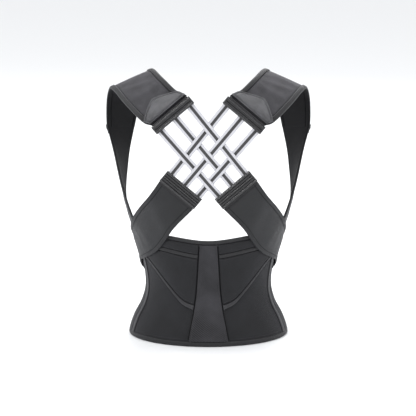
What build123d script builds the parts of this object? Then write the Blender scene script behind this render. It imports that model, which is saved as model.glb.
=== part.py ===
from build123d import *
import os
from math import asin, cos, degrees, hypot, radians, sin

# Posture back brace: a waist panel, two diagonal straps, a woven lattice of six
# elastic bands between four strap housings, two padded shoulder loops and a front
# closure. Millimetres. +Z is up and +Y is the way the wearer faces. The origin is
# on the torso's centre line, at the height of the hem.

# ---------------------------------------------------------------- torso
# The oval body that the brace is cut for: half width and half depth by height.
hem_half_width = 139.0
hem_half_depth = 105.0
hip_height = 30.0
hip_half_width = 131.0
hip_half_depth = 99.5
flank_height = 60.0
flank_half_width = 116.0
flank_half_depth = 90.5
waist_height = 90.0
waist_half_width = 109.0
waist_half_depth = 85.5
rib_height = 130.0
rib_half_width = 113.0
rib_half_depth = 88.5
back_height = 190.0
back_half_width = 128.5
back_half_depth = 96.0
blade_height = 225.0
blade_half_width = 141.5
blade_half_depth = 99.5
chest_height = 330.0
chest_half_width = 161.0
chest_half_depth = 107.0

# ---------------------------------------------------------------- cloth layers
lining_thickness = 0.8
stay_thickness = 0.8
shell_thickness = 2.2
trim_thickness = 1.4
strap_thickness = 2.4
layer_gap = 0.4
trim_gap = 0.6
side_gap = 0.9
surface_fit = 0.15
surface_spread = 0.015
binding_thickness = 5.0

# ---------------------------------------------------------------- waist panel
panel_top_centre = 191.0
panel_top_wing = 198.0
panel_top_side = 167.0
belt_side_height = 152.0
belt_front_height = 130.0
hem_binding_height = 9.0
top_binding_height = 8.0
side_seam_angle = 69.0
side_panel_end = 92.0
gusset_end = 104.0
strip_top_half_angle = 7.2
strip_hem_half_angle = 15.3
stay_width = 12.0
stay_angles = (-50.0, -22.0, 22.0, 50.0)
wing_edge = [(12.0, 61.0), (24.0, 71.0), (38.0, 97.0), (56.0, 133.0), (70.0, 152.0)]
wing_tape_width = 9.0
yoke_edge = [(10.0, 162.5), (47.0, 173.5), (70.0, 166.5)]
yoke_tape_width = 7.0

# ---------------------------------------------------------------- lattice
cross_height = 340.2
cross_depth = 97.3
lattice_lean = 5.3
band_angle = 49.9
upper_run = 88.6
lower_run = 63.6
band_width = 14.5
band_thickness = 1.3
band_pitch_upper = 33.5
band_pitch_lower = 30.0
weave_lift = 1.15

# ---------------------------------------------------------------- housings
housing_thickness = 10.0
housing_wall = 1.3
housing_end_wall = 1.3
upper_housing_depth = 15.5
lower_housing_depth = 23.0
cavity_depth = 11.0
mouth_height = 3.0
bar_radius = 1.9
loop_gap = 0.25
loop_wall = 1.1
loop_inset = 0.4
ridge_radius = 1.6

# ---------------------------------------------------------------- straps
lower_strap_start_width = 77.0
lower_strap_blade_width = 67.0
side_strap_width = 51.0
pull_strap_width = 49.0
lower_strap_end_angle = 86.0
side_strap_end_angle = 105.0
pull_strap_start_angle = 109.0
pull_strap_end_angle = 140.0
pull_tab_end_angle = 151.0
hook_thickness = 0.8
loop_thickness = 0.5
loop_sink = 0.35

# ---------------------------------------------------------------- shoulder loop
pad_width = 82.0
pad_front_width = 71.0
pad_thickness = 5.5
pad_edge_width = 9.5
pad_edge_extra = 0.8
underarm_top_width = 64.0
underarm_width = 51.0
underarm_thickness = 3.4
underarm_height = 207.0
underarm_clearance = 1.6
shoulder_half_span = 133.0
shoulder_height = 460.0
patch_side_length = 14.0
patch_apex_length = 38.0
patch_thickness = 1.6
patch_gap = 2.0

# ---------------------------------------------------------------- front closure
outer_lap_start = 149.0
outer_lap_full = 167.0
outer_flap_end = 194.0
inner_flap_end = 195.0
flap_binding_width = 8.0
hook_inset = 18.0

# Offsets of the layers from the body, from the inside out.
stay_at = lining_thickness + layer_gap
shell_at = stay_at + stay_thickness + layer_gap
trim_at = shell_at + shell_thickness + trim_gap
strap_at = trim_at + trim_thickness + layer_gap + 0.1
strap_top = strap_at + strap_thickness
lap_rise = binding_thickness + hook_thickness - 1.0

torso = [
    (0.0, hem_half_width, hem_half_depth),
    (hip_height, hip_half_width, hip_half_depth),
    (flank_height, flank_half_width, flank_half_depth),
    (waist_height, waist_half_width, waist_half_depth),
    (rib_height, rib_half_width, rib_half_depth),
    (back_height, back_half_width, back_half_depth),
    (blade_height, blade_half_width, blade_half_depth),
    (chest_height, chest_half_width, chest_half_depth),
]


# ---------------------------------------------------------------- curves
def smooth(stations, at):
    """Values on a smooth curve through stations, each (place, value, value...)."""
    places = [row[0] for row in stations]
    last = len(stations) - 1
    at = min(max(at, places[0]), places[-1])
    left = min(max(i for i in range(last + 1) if places[i] <= at), last - 1)

    def slope(i, column):
        low, high = max(i - 1, 0), min(i + 1, last)
        rise = stations[high][column] - stations[low][column]
        return rise / (places[high] - places[low])

    span = places[left + 1] - places[left]
    t = (at - places[left]) / span
    values = []
    for column in range(1, len(stations[0])):
        start, end = stations[left][column], stations[left + 1][column]
        values.append(
            start * (2 * t**3 - 3 * t**2 + 1)
            + span * slope(left, column) * (t**3 - 2 * t**2 + t)
            + end * (3 * t**2 - 2 * t**3)
            + span * slope(left + 1, column) * (t**3 - t**2)
        )
    return values


def ease(t):
    """0 to 1, level at both ends."""
    t = min(max(t, 0.0), 1.0)
    return t * t * (3 - 2 * t)


def body_size(height):
    """Half width and half depth of the body. It stands square at the hem."""
    return smooth([(-hip_height, hip_half_width, hip_half_depth)] + torso, height)


def skin(angle, height, offset):
    """A point off the body. The angle runs from the spine, positive to +X."""
    step = 0.5
    width, depth = body_size(height)
    width_up, depth_up = body_size(height + step)
    width_down, depth_down = body_size(height - step)
    width_slope = (width_up - width_down) / (2 * step)
    depth_slope = (depth_up - depth_down) / (2 * step)
    s, c = sin(radians(angle)), cos(radians(angle))
    lean = width * depth_slope * c * c + depth * width_slope * s * s
    normal = Vector(depth * s, -width * c, -lean).normalized()
    return Vector(width * s, -depth * c, height) + normal * offset


def round_body(angle, height, distance):
    """The angle reached after going a distance round the body."""
    steps = 6
    width, depth = body_size(height)
    for _ in range(steps):
        s, c = sin(radians(angle)), cos(radians(angle))
        angle += degrees(distance / steps / hypot(width * c, depth * s))
    return angle


def panel_top(angle):
    """Height of the waist panel's upper edge."""
    stations = [
        (-40.0, panel_top_wing),
        (0.0, panel_top_centre),
        (40.0, panel_top_wing),
        (62.0, (panel_top_wing + panel_top_side) / 2 + 5.0),
        (side_panel_end, panel_top_side),
        (gusset_end + 12.0, belt_side_height),
        (142.0, belt_front_height + 6.0),
        (165.0, belt_front_height),
        (180.0, belt_front_height),
        (200.0, belt_front_height),
    ]
    return smooth(stations, abs(angle))[0]


# ---------------------------------------------------------------- solids
def surface(rows, degrees):
    """The lightest smooth face that lies close to every point and no larger."""
    cells = 0.0
    for near, far in zip(rows, rows[1:]):
        for a, b, c, d in zip(near, near[1:], far, far[1:]):
            cells += ((d - a).cross(c - b)).length / 2
    for degree, closeness in [(d, 0.1) for d in degrees] + [(3, 0.04), (3, 0.01)]:
        face = Face.make_surface_from_array_of_points(
            rows, tol=closeness, min_deg=3, max_deg=degree
        )
        worst = max(Vertex(*point).distance_to(face) for row in rows for point in row)
        if worst < surface_fit and abs(face.area / cells - 1) < surface_spread:
            return face
    return face


def sheet(rows, thickness, outward, degrees=(5, 3)):
    """A curved sheet: its inner face goes through rows of points."""
    face = surface(rows, degrees)
    return Solid.thicken(face, thickness, normal_override=outward)


def grid(place, columns, rows):
    """Points place(u, v) for u and v from 0 to 1."""
    return [
        [place(i / columns, j / rows) for j in range(rows + 1)]
        for i in range(columns + 1)
    ]


def wrap(
    start, end, low, high, offset, thickness, columns=6, rows=6, curve_degrees=(5, 3)
):
    """A sheet round the body between two angles and two edges given by angle."""

    def place(u, v):
        angle = start + (end - start) * u
        height = low(angle) + (high(angle) - low(angle)) * v
        away = offset(angle) if callable(offset) else offset
        return skin(angle, height, away)

    points = grid(place, columns, rows)
    middle = radians((start + end) / 2)
    outward = Vector(sin(middle), -cos(middle), 0)
    return sheet(points, thickness, outward, curve_degrees)


def level(height):
    """An edge at one height all the way round."""
    return lambda angle: height


def below_top(gap):
    """An edge that follows the panel's top, a gap below it."""
    return lambda angle: panel_top(angle) - gap


def squared_off(piece):
    """The piece cut level at the hem, so that the brace can stand on it."""
    reach = 4 * hem_half_width
    floor = Pos(0, 0, -reach / 2) * Box(reach, reach, reach)
    return (piece - floor).solid()


def mirrored(piece):
    """The right-hand twin of a left-hand piece."""
    return mirror(piece, about=Plane.YZ)


# ---------------------------------------------------------------- waist panel
field_low = hem_binding_height + side_gap
field_high = below_top(top_binding_height + side_gap)


def strip_edge(height):
    """Half angle of the centre strip, narrow above and wide at the hem."""
    share = height / (panel_top_centre - top_binding_height)
    return strip_hem_half_angle + (strip_top_half_angle - strip_hem_half_angle) * share


def wing_low(angle):
    """Lower edge of a wing: steep at the side, levelling out to the strip."""
    return smooth(wing_edge, abs(angle))[0]


def yoke_line(angle):
    """The slanting seam across the top of a wing."""
    return smooth(yoke_edge, abs(angle))[0]


def beside_strip(height):
    """The left wing's inner edge, beside the centre strip."""
    return -(strip_edge(height) + degrees(side_gap / waist_half_width))


def left_overlay(low, high, outer, rows=2):
    """A left-hand piece sewn on the panel, from the strip out to an angle."""

    def place(u, v):
        height = low(-12.0) + (high(-12.0) - low(-12.0)) * v
        inner = beside_strip(height)
        angle = outer + (inner - outer) * u
        base, top = low(angle), high(angle)
        return skin(angle, base + (top - base) * v, trim_at)

    points = grid(place, 12, rows)
    return sheet(points, trim_thickness, Vector(-1, -1, 0), degrees=(3,))


def back_lining():
    """The thin inner cloth of the whole back."""
    return wrap(
        -side_panel_end, side_panel_end, level(field_low), field_high,
        0.0, lining_thickness, columns=14,
    )


def back_panel_left():
    """Half of the stretch shell, from the side seam to the spine."""
    return wrap(
        -side_seam_angle, -0.2, level(field_low), field_high, shell_at, shell_thickness
    )


def side_panel_left():
    """The shell from the side seam to the gusset."""
    return wrap(
        -side_panel_end, -side_seam_angle - 0.3, level(field_low), field_high,
        shell_at, shell_thickness, columns=4,
    )


def center_strip():
    """The strip down the spine, wider at the hem."""

    def place(u, v):
        height = field_low + (field_high(0.0) - field_low) * v
        return skin((2 * u - 1) * strip_edge(height), height, trim_at)

    return sheet(grid(place, 4, 6), trim_thickness, Vector(0, -1, 0))


def back_stays():
    """Four flexible strips between the lining and the shell."""
    strips = []
    for angle in stay_angles:
        half = degrees(stay_width / 2 / waist_half_width)
        strips.append(
            wrap(
                angle - half, angle + half, level(field_low + 4), below_top(16.0),
                stay_at, stay_thickness, columns=2,
            )
        )
    return Compound(children=strips)


def binding(start, end, low, high, columns):
    """A doubled tape that closes an edge of the panel."""
    return wrap(start, end, low, high, 0.0, binding_thickness, columns, 2, (3,))


def waist_pieces():
    """Everything in the waist panel that is sewn together behind the gussets."""
    tape_high = lambda angle: wing_low(angle) + wing_tape_width
    wing_base = lambda angle: tape_high(angle) + side_gap
    wing_top = lambda angle: yoke_line(angle) - yoke_tape_width / 2 - side_gap
    seam_low = lambda angle: yoke_line(angle) - yoke_tape_width / 2
    seam_high = lambda angle: yoke_line(angle) + yoke_tape_width / 2
    yoke_base = lambda angle: seam_high(angle) + side_gap
    wing_end = -(side_seam_angle - 1.0)
    pieces = {
        "back_lining": back_lining(),
        "center_strip": center_strip(),
        "back_stays": back_stays(),
        "top_binding": binding(
            -side_panel_end, side_panel_end, below_top(top_binding_height),
            below_top(0.0), 20,
        ),
        "hem_binding": squared_off(
            binding(-side_panel_end, side_panel_end, level(-1.0), level(hem_binding_height), 14)
        ),
    }
    left = {
        "back_panel": back_panel_left(),
        "side_panel": side_panel_left(),
        "wing_tape": left_overlay(wing_low, tape_high, wing_end),
        "wing": left_overlay(wing_base, wing_top, wing_end, rows=4),
        "yoke_tape": left_overlay(seam_low, seam_high, wing_end),
        "yoke": left_overlay(yoke_base, field_high, wing_end),
    }
    for name, piece in left.items():
        pieces[name + "_left"] = piece
        pieces[name + "_right"] = mirrored(piece)
    return pieces


# ---------------------------------------------------------------- lattice
along = Vector(-cos(radians(band_angle)), sin(radians(band_angle)))
lattice_up = Vector(0, sin(radians(lattice_lean)), cos(radians(lattice_lean)))
lattice_out = Vector(0, -cos(radians(lattice_lean)), sin(radians(lattice_lean)))
cross_centre = Vector(0, -cross_depth, cross_height)


def on_lattice(run, side, out=0.0):
    """A point of the plane of the bands. run goes up and left from the crossing,
    side goes up and right, and out is away from the body."""
    x = run * along.X + side * along.Y
    rise = run * along.Y - side * along.X
    return cross_centre + Vector(x, 0, 0) + lattice_up * rise + lattice_out * out


def band_pitch(run):
    """Distance between neighbouring bands of one set, wider at the shoulder."""
    share = (run + lower_run) / (upper_run + lower_run)
    return band_pitch_lower + (band_pitch_upper - band_pitch_lower) * share


def crossing_run(own, other):
    """Where band own of one set meets band other of the other set. Bands are -1, 0
    or 1, the first nearest the spine."""
    run = 0.0
    for _ in range(12):
        side = own * band_pitch(run)
        x = run * along.X + side * along.Y
        rise = run * along.Y - side * along.X
        twin_run = -x * along.X + rise * along.Y
        twin_side = -x * along.Y - rise * along.X
        miss = twin_side - other * band_pitch(twin_run)
        run += miss / (2 * along.X * along.Y)
    return run


def band_end(run_sign):
    """How far along the band its loop's centre lies from the crossing."""
    inside = cavity_depth / 2 + housing_wall
    return (upper_run + inside) if run_sign > 0 else -(lower_run + inside)


def band(own, weave):
    """One band of the left-to-right set: a woven strip with a loop at each end.
    weave gives +1 where it passes outside each band of the other set, else -1."""
    waves = sorted((crossing_run(own, other), side) for other, side in weave.items())
    top, bottom = band_end(1), band_end(-1)
    bite = bar_radius + loop_gap + 0.5 * loop_wall
    strip_top = top - bite
    strip_bottom = bottom + bite
    heights = [(strip_bottom, 0.0), (-lower_run, 0.0)]
    heights += [(run, side * weave_lift) for run, side in waves]
    heights += [(upper_run, 0.0), (strip_top, 0.0)]

    def place(u, v):
        run = strip_bottom + (strip_top - strip_bottom) * u
        side = own * band_pitch(run) + (v - 0.5) * band_width
        lift = smooth(heights, run)[0]
        return on_lattice(run, side, lift - band_thickness / 2)

    strip = sheet(grid(place, 32, 1), band_thickness, lattice_out)
    for run in (top, bottom):
        strip = strip + loop_at(run, own * band_pitch(run))
    return strip.solid()


def loop_at(run, side):
    """The sewn loop that holds a band on its bar."""
    inner = bar_radius + loop_gap
    plane = Plane(
        origin=on_lattice(run, side), x_dir=lattice_out, z_dir=along_side()
    )
    wide = band_width - 2 * loop_inset
    ring = Cylinder(inner + loop_wall, wide) - Cylinder(inner, wide + 2)
    return (plane * ring).solid()


def along_side():
    """Direction along a left-to-right set's housings."""
    return (on_lattice(0, 1) - on_lattice(0, 0)).normalized()


def lattice_pieces():
    """Six bands, three from each shoulder, woven over and under."""
    names = {1: "inner", 0: "middle", -1: "outer"}
    pieces = {}
    for own, word in names.items():
        left_over = {other: 1 if (own + other) % 2 == 0 else -1 for other in names}
        right_over = {other: -side for other, side in left_over.items()}
        pieces["band_left_" + word] = band(own, left_over)
        pieces["band_right_" + word] = mirrored(band(own, right_over))
    return pieces


# ---------------------------------------------------------------- housings
def housing(mouth_run, back_sign, length, depth, ridges):
    """A sleeve with a slot for the bands and a closed cavity for the bar."""
    centre = on_lattice(mouth_run + back_sign * depth / 2, 0)
    away = (on_lattice(1, 0) - on_lattice(0, 0)) * back_sign
    plane = Plane(origin=centre, x_dir=along_side(), z_dir=lattice_out)
    facing = 1 if plane.to_local_coords(centre + away).Y > 0 else -1
    mouth_y = -facing * depth / 2
    shell = Box(length, depth, housing_thickness)
    shell = fillet(shell.edges().filter_by(Axis.X), 1.8)
    hollow_y = mouth_y + facing * (housing_wall + cavity_depth / 2)
    hollow = Box(
        length - 2 * housing_end_wall, cavity_depth, housing_thickness - 2 * housing_wall
    )
    slot_y = mouth_y + facing * housing_wall / 2
    slot = Box(length - 2 * housing_end_wall, 3 * housing_wall, mouth_height)
    body = shell - Pos(0, hollow_y, 0) * hollow - Pos(0, slot_y, 0) * slot
    for n in range(ridges):
        y = mouth_y + facing * (3.0 + n * (depth - 6.0) / max(ridges - 1, 1))
        ridge = Pos(0, y, housing_thickness / 2) * Rot(0, 90, 0) * Cylinder(
            ridge_radius, length - 2.0
        )
        body = body + ridge
    return (plane * body).solid()


def housing_bar(mouth_run, back_sign, length):
    """The rod that the band loops turn round, held captive in a housing."""
    run = mouth_run + back_sign * (housing_wall + cavity_depth / 2)
    plane = Plane(origin=on_lattice(run, 0), x_dir=lattice_out, z_dir=along_side())
    rod = Cylinder(bar_radius, length - 2 * housing_end_wall - 0.6)
    return (plane * rod).solid()


upper_housing_length = 2 * band_pitch_upper + band_width + 2 * housing_end_wall + 1.2
lower_housing_length = 2 * band_pitch_lower + band_width + 2 * housing_end_wall + 1.2


# ---------------------------------------------------------------- shoulder loop
def unit(x, y, z):
    """A width direction of the loop."""
    return Vector(x, y, z).normalized()


def flat_on_body(angle, height, direction):
    """A width direction laid flat on the body at a point of it."""
    normal = skin(angle, height, 1.0) - skin(angle, height, 0.0)
    return (direction - normal * direction.dot(normal)).normalized()


def loop_stations():
    """Centre, half width and bulge of the left shoulder loop, from the upper housing
    over the shoulder, down in front, and back under the arm to the side panel."""
    start_run = upper_run + upper_housing_depth + 2 * side_gap
    start = on_lattice(start_run, 0, -pad_thickness / 2)
    side = along_side()
    half, front = pad_width / 2, pad_front_width / 2
    top, low = shoulder_height, underarm_height
    x = shoulder_half_span
    tucked = strap_at - underarm_clearance - underarm_thickness
    arm = skin(-79.0, low, tucked)
    under = skin(-70.5, low - 19.0, tucked)
    arm_across = flat_on_body(-79.0, low, unit(-0.14, 0.80, -0.58))
    under_across = flat_on_body(-70.5, low - 19.0, unit(-0.30, 0.77, -0.57))
    rows = [
        (start, side * half, 0.0),
        (Vector(-x + 48, -77, top - 34), unit(0.74, 0.24, 0.63) * half, 0.5),
        (Vector(-x + 21, -44, top - 13), unit(0.81, 0.19, 0.55) * half, 1.5),
        (Vector(-x, 5, top), unit(0.85, 0.29, 0.43) * half, 2.5),
        (Vector(-x - 9, 42, top - 12), unit(0.88, 0.42, 0.18) * half * 0.96, 2.5),
        (Vector(-x - 19, 66, top - 44), unit(0.82, 0.56, 0.08) * half * 0.9, 2.0),
        (Vector(-x - 25, 72, top - 97), unit(0.64, 0.76, -0.10) * front, 1.5),
        (Vector(-x - 24, 50, low + 103), unit(0.37, 0.83, -0.43) * front * 0.9, 1.5),
        (Vector(-x - 18, 14, low + 48), unit(0.08, 0.84, -0.53) * underarm_width * 0.53, 2.0),
        (arm, arm_across * underarm_width / 2, 3.5),
        (under, under_across * underarm_width / 2, 3.5),
    ]
    return [
        (float(n), *centre, *half_width, bulge)
        for n, (centre, half_width, bulge) in enumerate(rows)
    ]


left_loop = loop_stations()
pad_end = 6.0
loop_end = float(len(left_loop) - 1)


def on_loop(s, t, out=0.0, width_scale=1.0):
    """A point of the shoulder loop. s counts stations, t goes from the lateral edge,
    -1, to the medial edge, 1, and out is away from the body. Its edges fall in."""
    x, y, z, wx, wy, wz, bulge = smooth(left_loop, s)
    ahead = smooth(left_loop, min(s + 0.05, loop_end))
    behind = smooth(left_loop, max(s - 0.05, 0.0))
    tangent = Vector(*(a - b for a, b in zip(ahead[:3], behind[:3])))
    half = Vector(wx, wy, wz) * width_scale
    normal = half.cross(tangent).normalized()
    return Vector(x, y, z) + half * t + normal * (out - bulge * t * t)


def ribbon(start, end, left, right, thickness, out=0.0, columns=16, rows=2, scale=1.0):
    """A sheet along the shoulder loop."""

    def place(u, v):
        s = start + (end - start) * u
        return on_loop(s, left + (right - left) * v, out, scale)

    middle = (start + end) / 2
    inside, outside = on_loop(middle, 0), on_loop(middle, 0, 1.0)
    points = grid(place, columns, rows)
    return sheet(points, thickness, outside - inside, degrees=(3,))


def station_after(distance):
    """The station reached after a distance along the loop's centre line."""
    s, step = 0.0, 0.02
    while distance > 0:
        distance -= (on_loop(s + step, 0) - on_loop(s, 0)).length
        s += step
    return s


def patch_left():
    """The pentagon that covers the seam above the upper housing."""
    def place(u, v):
        t = 2 * v - 1
        peak = (patch_apex_length - patch_side_length) * (1 - abs(t) ** 1.3)
        s = station_after(u * (patch_side_length + peak))
        return on_loop(s, t * 0.985, pad_thickness + pad_edge_extra + patch_gap)

    normal = on_loop(0.5, 0, 1.0) - on_loop(0.5, 0)
    return sheet(grid(place, 5, 8), patch_thickness, normal)


def shoulder_pieces():
    """The left shoulder loop and the upper housing that it ends in."""
    edge = 2 * pad_edge_width / pad_width
    gap = 2 * side_gap / pad_width
    rim = pad_thickness + pad_edge_extra
    return {
        "shoulder_pad": ribbon(
            0.0, pad_end, -1 + edge + gap, 1 - edge - gap, pad_thickness, rows=4
        ),
        "pad_edge_outer": ribbon(0.0, pad_end, -1.0, -1 + edge, rim),
        "pad_edge_inner": ribbon(0.0, pad_end, 1 - edge, 1.0, rim),
        "patch": patch_left(),
        "underarm_strap": ribbon(
            pad_end + 0.08, loop_end, -1.0, 1.0, underarm_thickness,
            rows=4, scale=underarm_top_width / pad_front_width,
        ),
        "upper_housing": housing(upper_run, 1, upper_housing_length, upper_housing_depth, 2),
        "upper_bar": housing_bar(upper_run, 1, upper_housing_length),
    }


# ---------------------------------------------------------------- diagonal straps
def strap_start():
    """Where the left diagonal strap leaves its housing: angle and height."""
    run = -(lower_run + lower_housing_depth + side_gap)
    centre = on_lattice(run, 0)
    mirrored_x = -abs(centre.X)
    width, _ = body_size(centre.Z)
    return degrees(asin(mirrored_x / (width + strap_at))), centre.Z


def strap_stations():
    """Centre line and half width of the left strap round the body."""
    angle, height = strap_start()
    start, blade, side = (
        lower_strap_start_width / 2, lower_strap_blade_width / 2, side_strap_width / 2,
    )
    pull = pull_strap_width / 2
    drop = panel_top_wing
    return [
        (0.0, angle, height, start),
        (1.0, angle - 13.5, height - 34.0, start - 4.5),
        (2.0, -54.0, drop - 1.0, blade),
        (3.0, -72.0, drop - 22.0, (blade + side) / 2),
        (4.0, -90.0, drop - 38.0, side),
        (5.0, -109.0, drop - 62.0, pull),
        (6.0, -125.0, drop - 82.0, pull),
        (7.0, -142.0, drop - 103.0, pull),
        (8.0, -156.0, drop - 118.0, pull),
    ]


strap_line = strap_stations()


def on_strap(s, t, offset):
    """A point of the left diagonal strap. t goes from its lower edge to its upper."""
    angle, height, half = smooth(strap_line, s)
    ahead = smooth(strap_line, min(s + 0.05, 8.0))
    behind = smooth(strap_line, max(s - 0.05, 0.0))
    width, depth = body_size(height)
    reach = hypot(width * cos(radians(angle)), depth * sin(radians(angle)))
    run = radians(ahead[0] - behind[0]) * reach
    rise = ahead[1] - behind[1]
    length = hypot(run, rise)
    across = t * half
    sideways, upward = across * rise / length, -across * run / length
    at = round_body(angle, height + upward / 2, sideways)
    on_body = skin(at, height + upward, offset)
    flat = 1 - ease(s / 1.7)
    if flat <= 0:
        return on_body
    slide = s * 44.0
    run_from = -(lower_run + lower_housing_depth + side_gap + slide)
    level_point = on_lattice(run_from, 0, -strap_thickness / 2)
    side_dir = along_side()
    straight = level_point + side_dir * across
    straight = Vector(-straight.X, straight.Y, straight.Z)
    return on_body * (1 - flat) + straight * flat


def station_at(angle):
    """The strap station whose centre line is at an angle from the spine."""
    low, high = 0.0, 8.0
    for _ in range(40):
        middle = (low + high) / 2
        if abs(smooth(strap_line, middle)[0]) < angle:
            low = middle
        else:
            high = middle
    return low


def strap_sheet(start, end, offset, thickness, columns, half_share=1.0, rows=4):
    """A stretch of the left diagonal strap."""

    def place(u, v):
        return on_strap(start + (end - start) * u, (2 * v - 1) * half_share, offset)

    middle = radians(smooth(strap_line, (start + end) / 2)[0])
    outward = Vector(sin(middle), -cos(middle), 0)
    return sheet(grid(place, columns, rows), thickness, outward, degrees=(3,))


def strap_pieces():
    """The left diagonal strap, its side stretch, pull strap, tab and hook pad."""
    side_start = station_at(lower_strap_end_angle)
    side_end = station_at(side_strap_end_angle)
    pull_start = station_at(pull_strap_start_angle)
    pull_end = station_at(pull_strap_end_angle)
    tab_end = station_at(pull_tab_end_angle)
    joint = 0.04
    return {
        "lower_strap": strap_sheet(0.0, side_start, strap_at, strap_thickness, 12),
        "side_strap": strap_sheet(
            side_start + joint, side_end, strap_at, strap_thickness, 4
        ),
        "pull_strap": strap_sheet(pull_start, pull_end, strap_at, strap_thickness, 6),
        "pull_tab": strap_sheet(
            pull_end + joint, tab_end, strap_at - 0.2, strap_thickness + 0.6, 3, 0.8
        ),
        "pull_hook": strap_sheet(
            pull_end - 0.9, pull_end - 0.1, strap_at - hook_thickness - 0.25,
            hook_thickness, 3, 0.78,
        ),
        "lower_housing": mirrored(
            housing(-lower_run, -1, lower_housing_length, lower_housing_depth, 3)
        ),
        "lower_bar": mirrored(housing_bar(-lower_run, -1, lower_housing_length)),
    }


# ---------------------------------------------------------------- front closure
def outer_lap(angle):
    """How far the outer flap stands off to lie over the inner one."""
    share = (abs(angle) - outer_lap_start) / (outer_lap_full - outer_lap_start)
    return lap_rise * ease(share)


def no_lap(angle):
    """The inner flap lies straight on the body."""
    return 0.0


def flap_shell(end, lap):
    """The padded front of the belt, on the left, inside its binding."""
    turn = degrees((flap_binding_width + side_gap) / waist_half_depth)
    return wrap(
        -(end - turn), -(gusset_end + 0.4), level(hem_binding_height + side_gap),
        below_top(flap_binding_width + side_gap),
        lambda angle: shell_at + lap(angle), shell_thickness, columns=24,
    )


def flap_binding(end, lap):
    """The tape that closes the flap above, below and at its free end."""
    turn = degrees(flap_binding_width / waist_half_depth)
    away = lambda angle: 1.0 + lap(angle)
    thick = binding_thickness - 1.0
    start = -(gusset_end + 0.4)
    whole = wrap(-end, start, level(-1.0), below_top(0.0), away, thick, 24)
    window = wrap(
        -(end - turn), start + 3.0, level(hem_binding_height),
        below_top(flap_binding_width), lambda angle: lap(angle) - 1.0,
        binding_thickness + 3.0, 24,
    )
    return squared_off(whole - window)


def gusset_left():
    """The elastic stretch between side panel and flap."""
    return wrap(
        -gusset_end, -(side_panel_end + 0.4), level(1.0), below_top(0.5),
        shell_at, shell_thickness - 0.4, columns=3,
    )


def closure_pieces():
    """Both flaps. The right one lies outside and carries the hook patch."""
    hook_low, hook_high = level(hook_inset), below_top(hook_inset)
    hook_start, hook_end = outer_lap_full + 2.0, outer_flap_end - 8.0
    outer_shell = flap_shell(outer_flap_end, outer_lap)
    pieces = {
        "front_flap_left": flap_shell(inner_flap_end, no_lap),
        "flap_binding_left": flap_binding(inner_flap_end, no_lap),
        "front_flap_right": mirrored(outer_shell),
        "flap_binding_right": mirrored(flap_binding(outer_flap_end, outer_lap)),
        "gusset_left": gusset_left(),
        "gusset_right": mirrored(gusset_left()),
        "loop_panel": wrap(
            -(inner_flap_end - 7.5), -(outer_lap_start + 2.0), hook_low, hook_high,
            trim_at - loop_sink, loop_thickness, columns=6,
        ),
        "hook_patch": mirrored(
            wrap(
                -hook_end, -hook_start, hook_low, hook_high,
                shell_at + lap_rise - hook_thickness - 0.3, hook_thickness, columns=4,
            )
        ),
    }
    return pieces


# ---------------------------------------------------------------- the brace
def build():
    """All the pieces, by name."""
    pieces = waist_pieces()
    pieces.update(lattice_pieces())
    for name, piece in {**shoulder_pieces(), **strap_pieces()}.items():
        pieces[name + "_left"] = piece
        pieces[name + "_right"] = mirrored(piece)
    pieces.update(closure_pieces())
    return pieces


os.makedirs("parts", exist_ok=True)
for name, piece in build().items():
    export_step(piece, "parts/" + name + ".step")
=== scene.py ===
# %% [markdown]
# # A posture back brace, sewn piece by piece
# The brace is cloth, webbing and tape wrapped round an oval body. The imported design
# fixes where everything goes. This lesson replaces its plain solids with sewn cloth:
# curved sheets with rolled edges, raised stitches, woven elastic and padded straps.

# %% Load the fixed frame
import bpy
import numpy as np
from math import asin, atan, cos, degrees, pi, radians, sin
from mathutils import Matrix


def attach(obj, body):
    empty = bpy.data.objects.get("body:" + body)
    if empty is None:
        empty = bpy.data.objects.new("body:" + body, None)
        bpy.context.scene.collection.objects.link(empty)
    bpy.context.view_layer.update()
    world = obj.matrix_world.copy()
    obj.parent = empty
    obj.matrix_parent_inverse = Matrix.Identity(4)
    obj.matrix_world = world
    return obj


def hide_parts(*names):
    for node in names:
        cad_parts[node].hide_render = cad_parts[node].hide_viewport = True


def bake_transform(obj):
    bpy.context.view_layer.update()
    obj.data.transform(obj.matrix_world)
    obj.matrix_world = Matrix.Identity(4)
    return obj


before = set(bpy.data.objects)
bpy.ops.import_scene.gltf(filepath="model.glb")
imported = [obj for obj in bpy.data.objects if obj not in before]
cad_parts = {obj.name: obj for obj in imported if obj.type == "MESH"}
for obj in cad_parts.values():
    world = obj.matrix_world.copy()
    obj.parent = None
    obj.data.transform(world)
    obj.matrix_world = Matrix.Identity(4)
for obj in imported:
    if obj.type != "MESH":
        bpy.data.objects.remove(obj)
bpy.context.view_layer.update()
MM = 0.001

# %% [markdown]
# ## Camera, light and floor
# A product like this is shown straight from behind and a little from above. A long
# lens from far away keeps the shoulder and the hem at the same scale. The light is
# four soft panels and a pale surround, so that black cloth still shows its folds.

# %% Place the camera
VIEW_HEIGHT = 12.0
VIEW_DISTANCE = 4.0
VIEW_TARGET = (-0.0007, 0.0, 0.229)
VIEW_SPAN = 748.8 * MM

camera_data = bpy.data.cameras.new("camera")
camera = bpy.data.objects.new("camera", camera_data)
bpy.context.scene.collection.objects.link(camera)
camera.location = (
    VIEW_TARGET[0],
    -VIEW_DISTANCE * cos(radians(VIEW_HEIGHT)),
    VIEW_TARGET[2] + VIEW_DISTANCE * sin(radians(VIEW_HEIGHT)),
)
camera.rotation_euler = (radians(90 - VIEW_HEIGHT), 0, 0)
camera_data.angle = 2 * atan(VIEW_SPAN / 2 / VIEW_DISTANCE)
bpy.context.scene.camera = camera
print("camera sees", round(VIEW_SPAN, 3), "m across")


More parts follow.
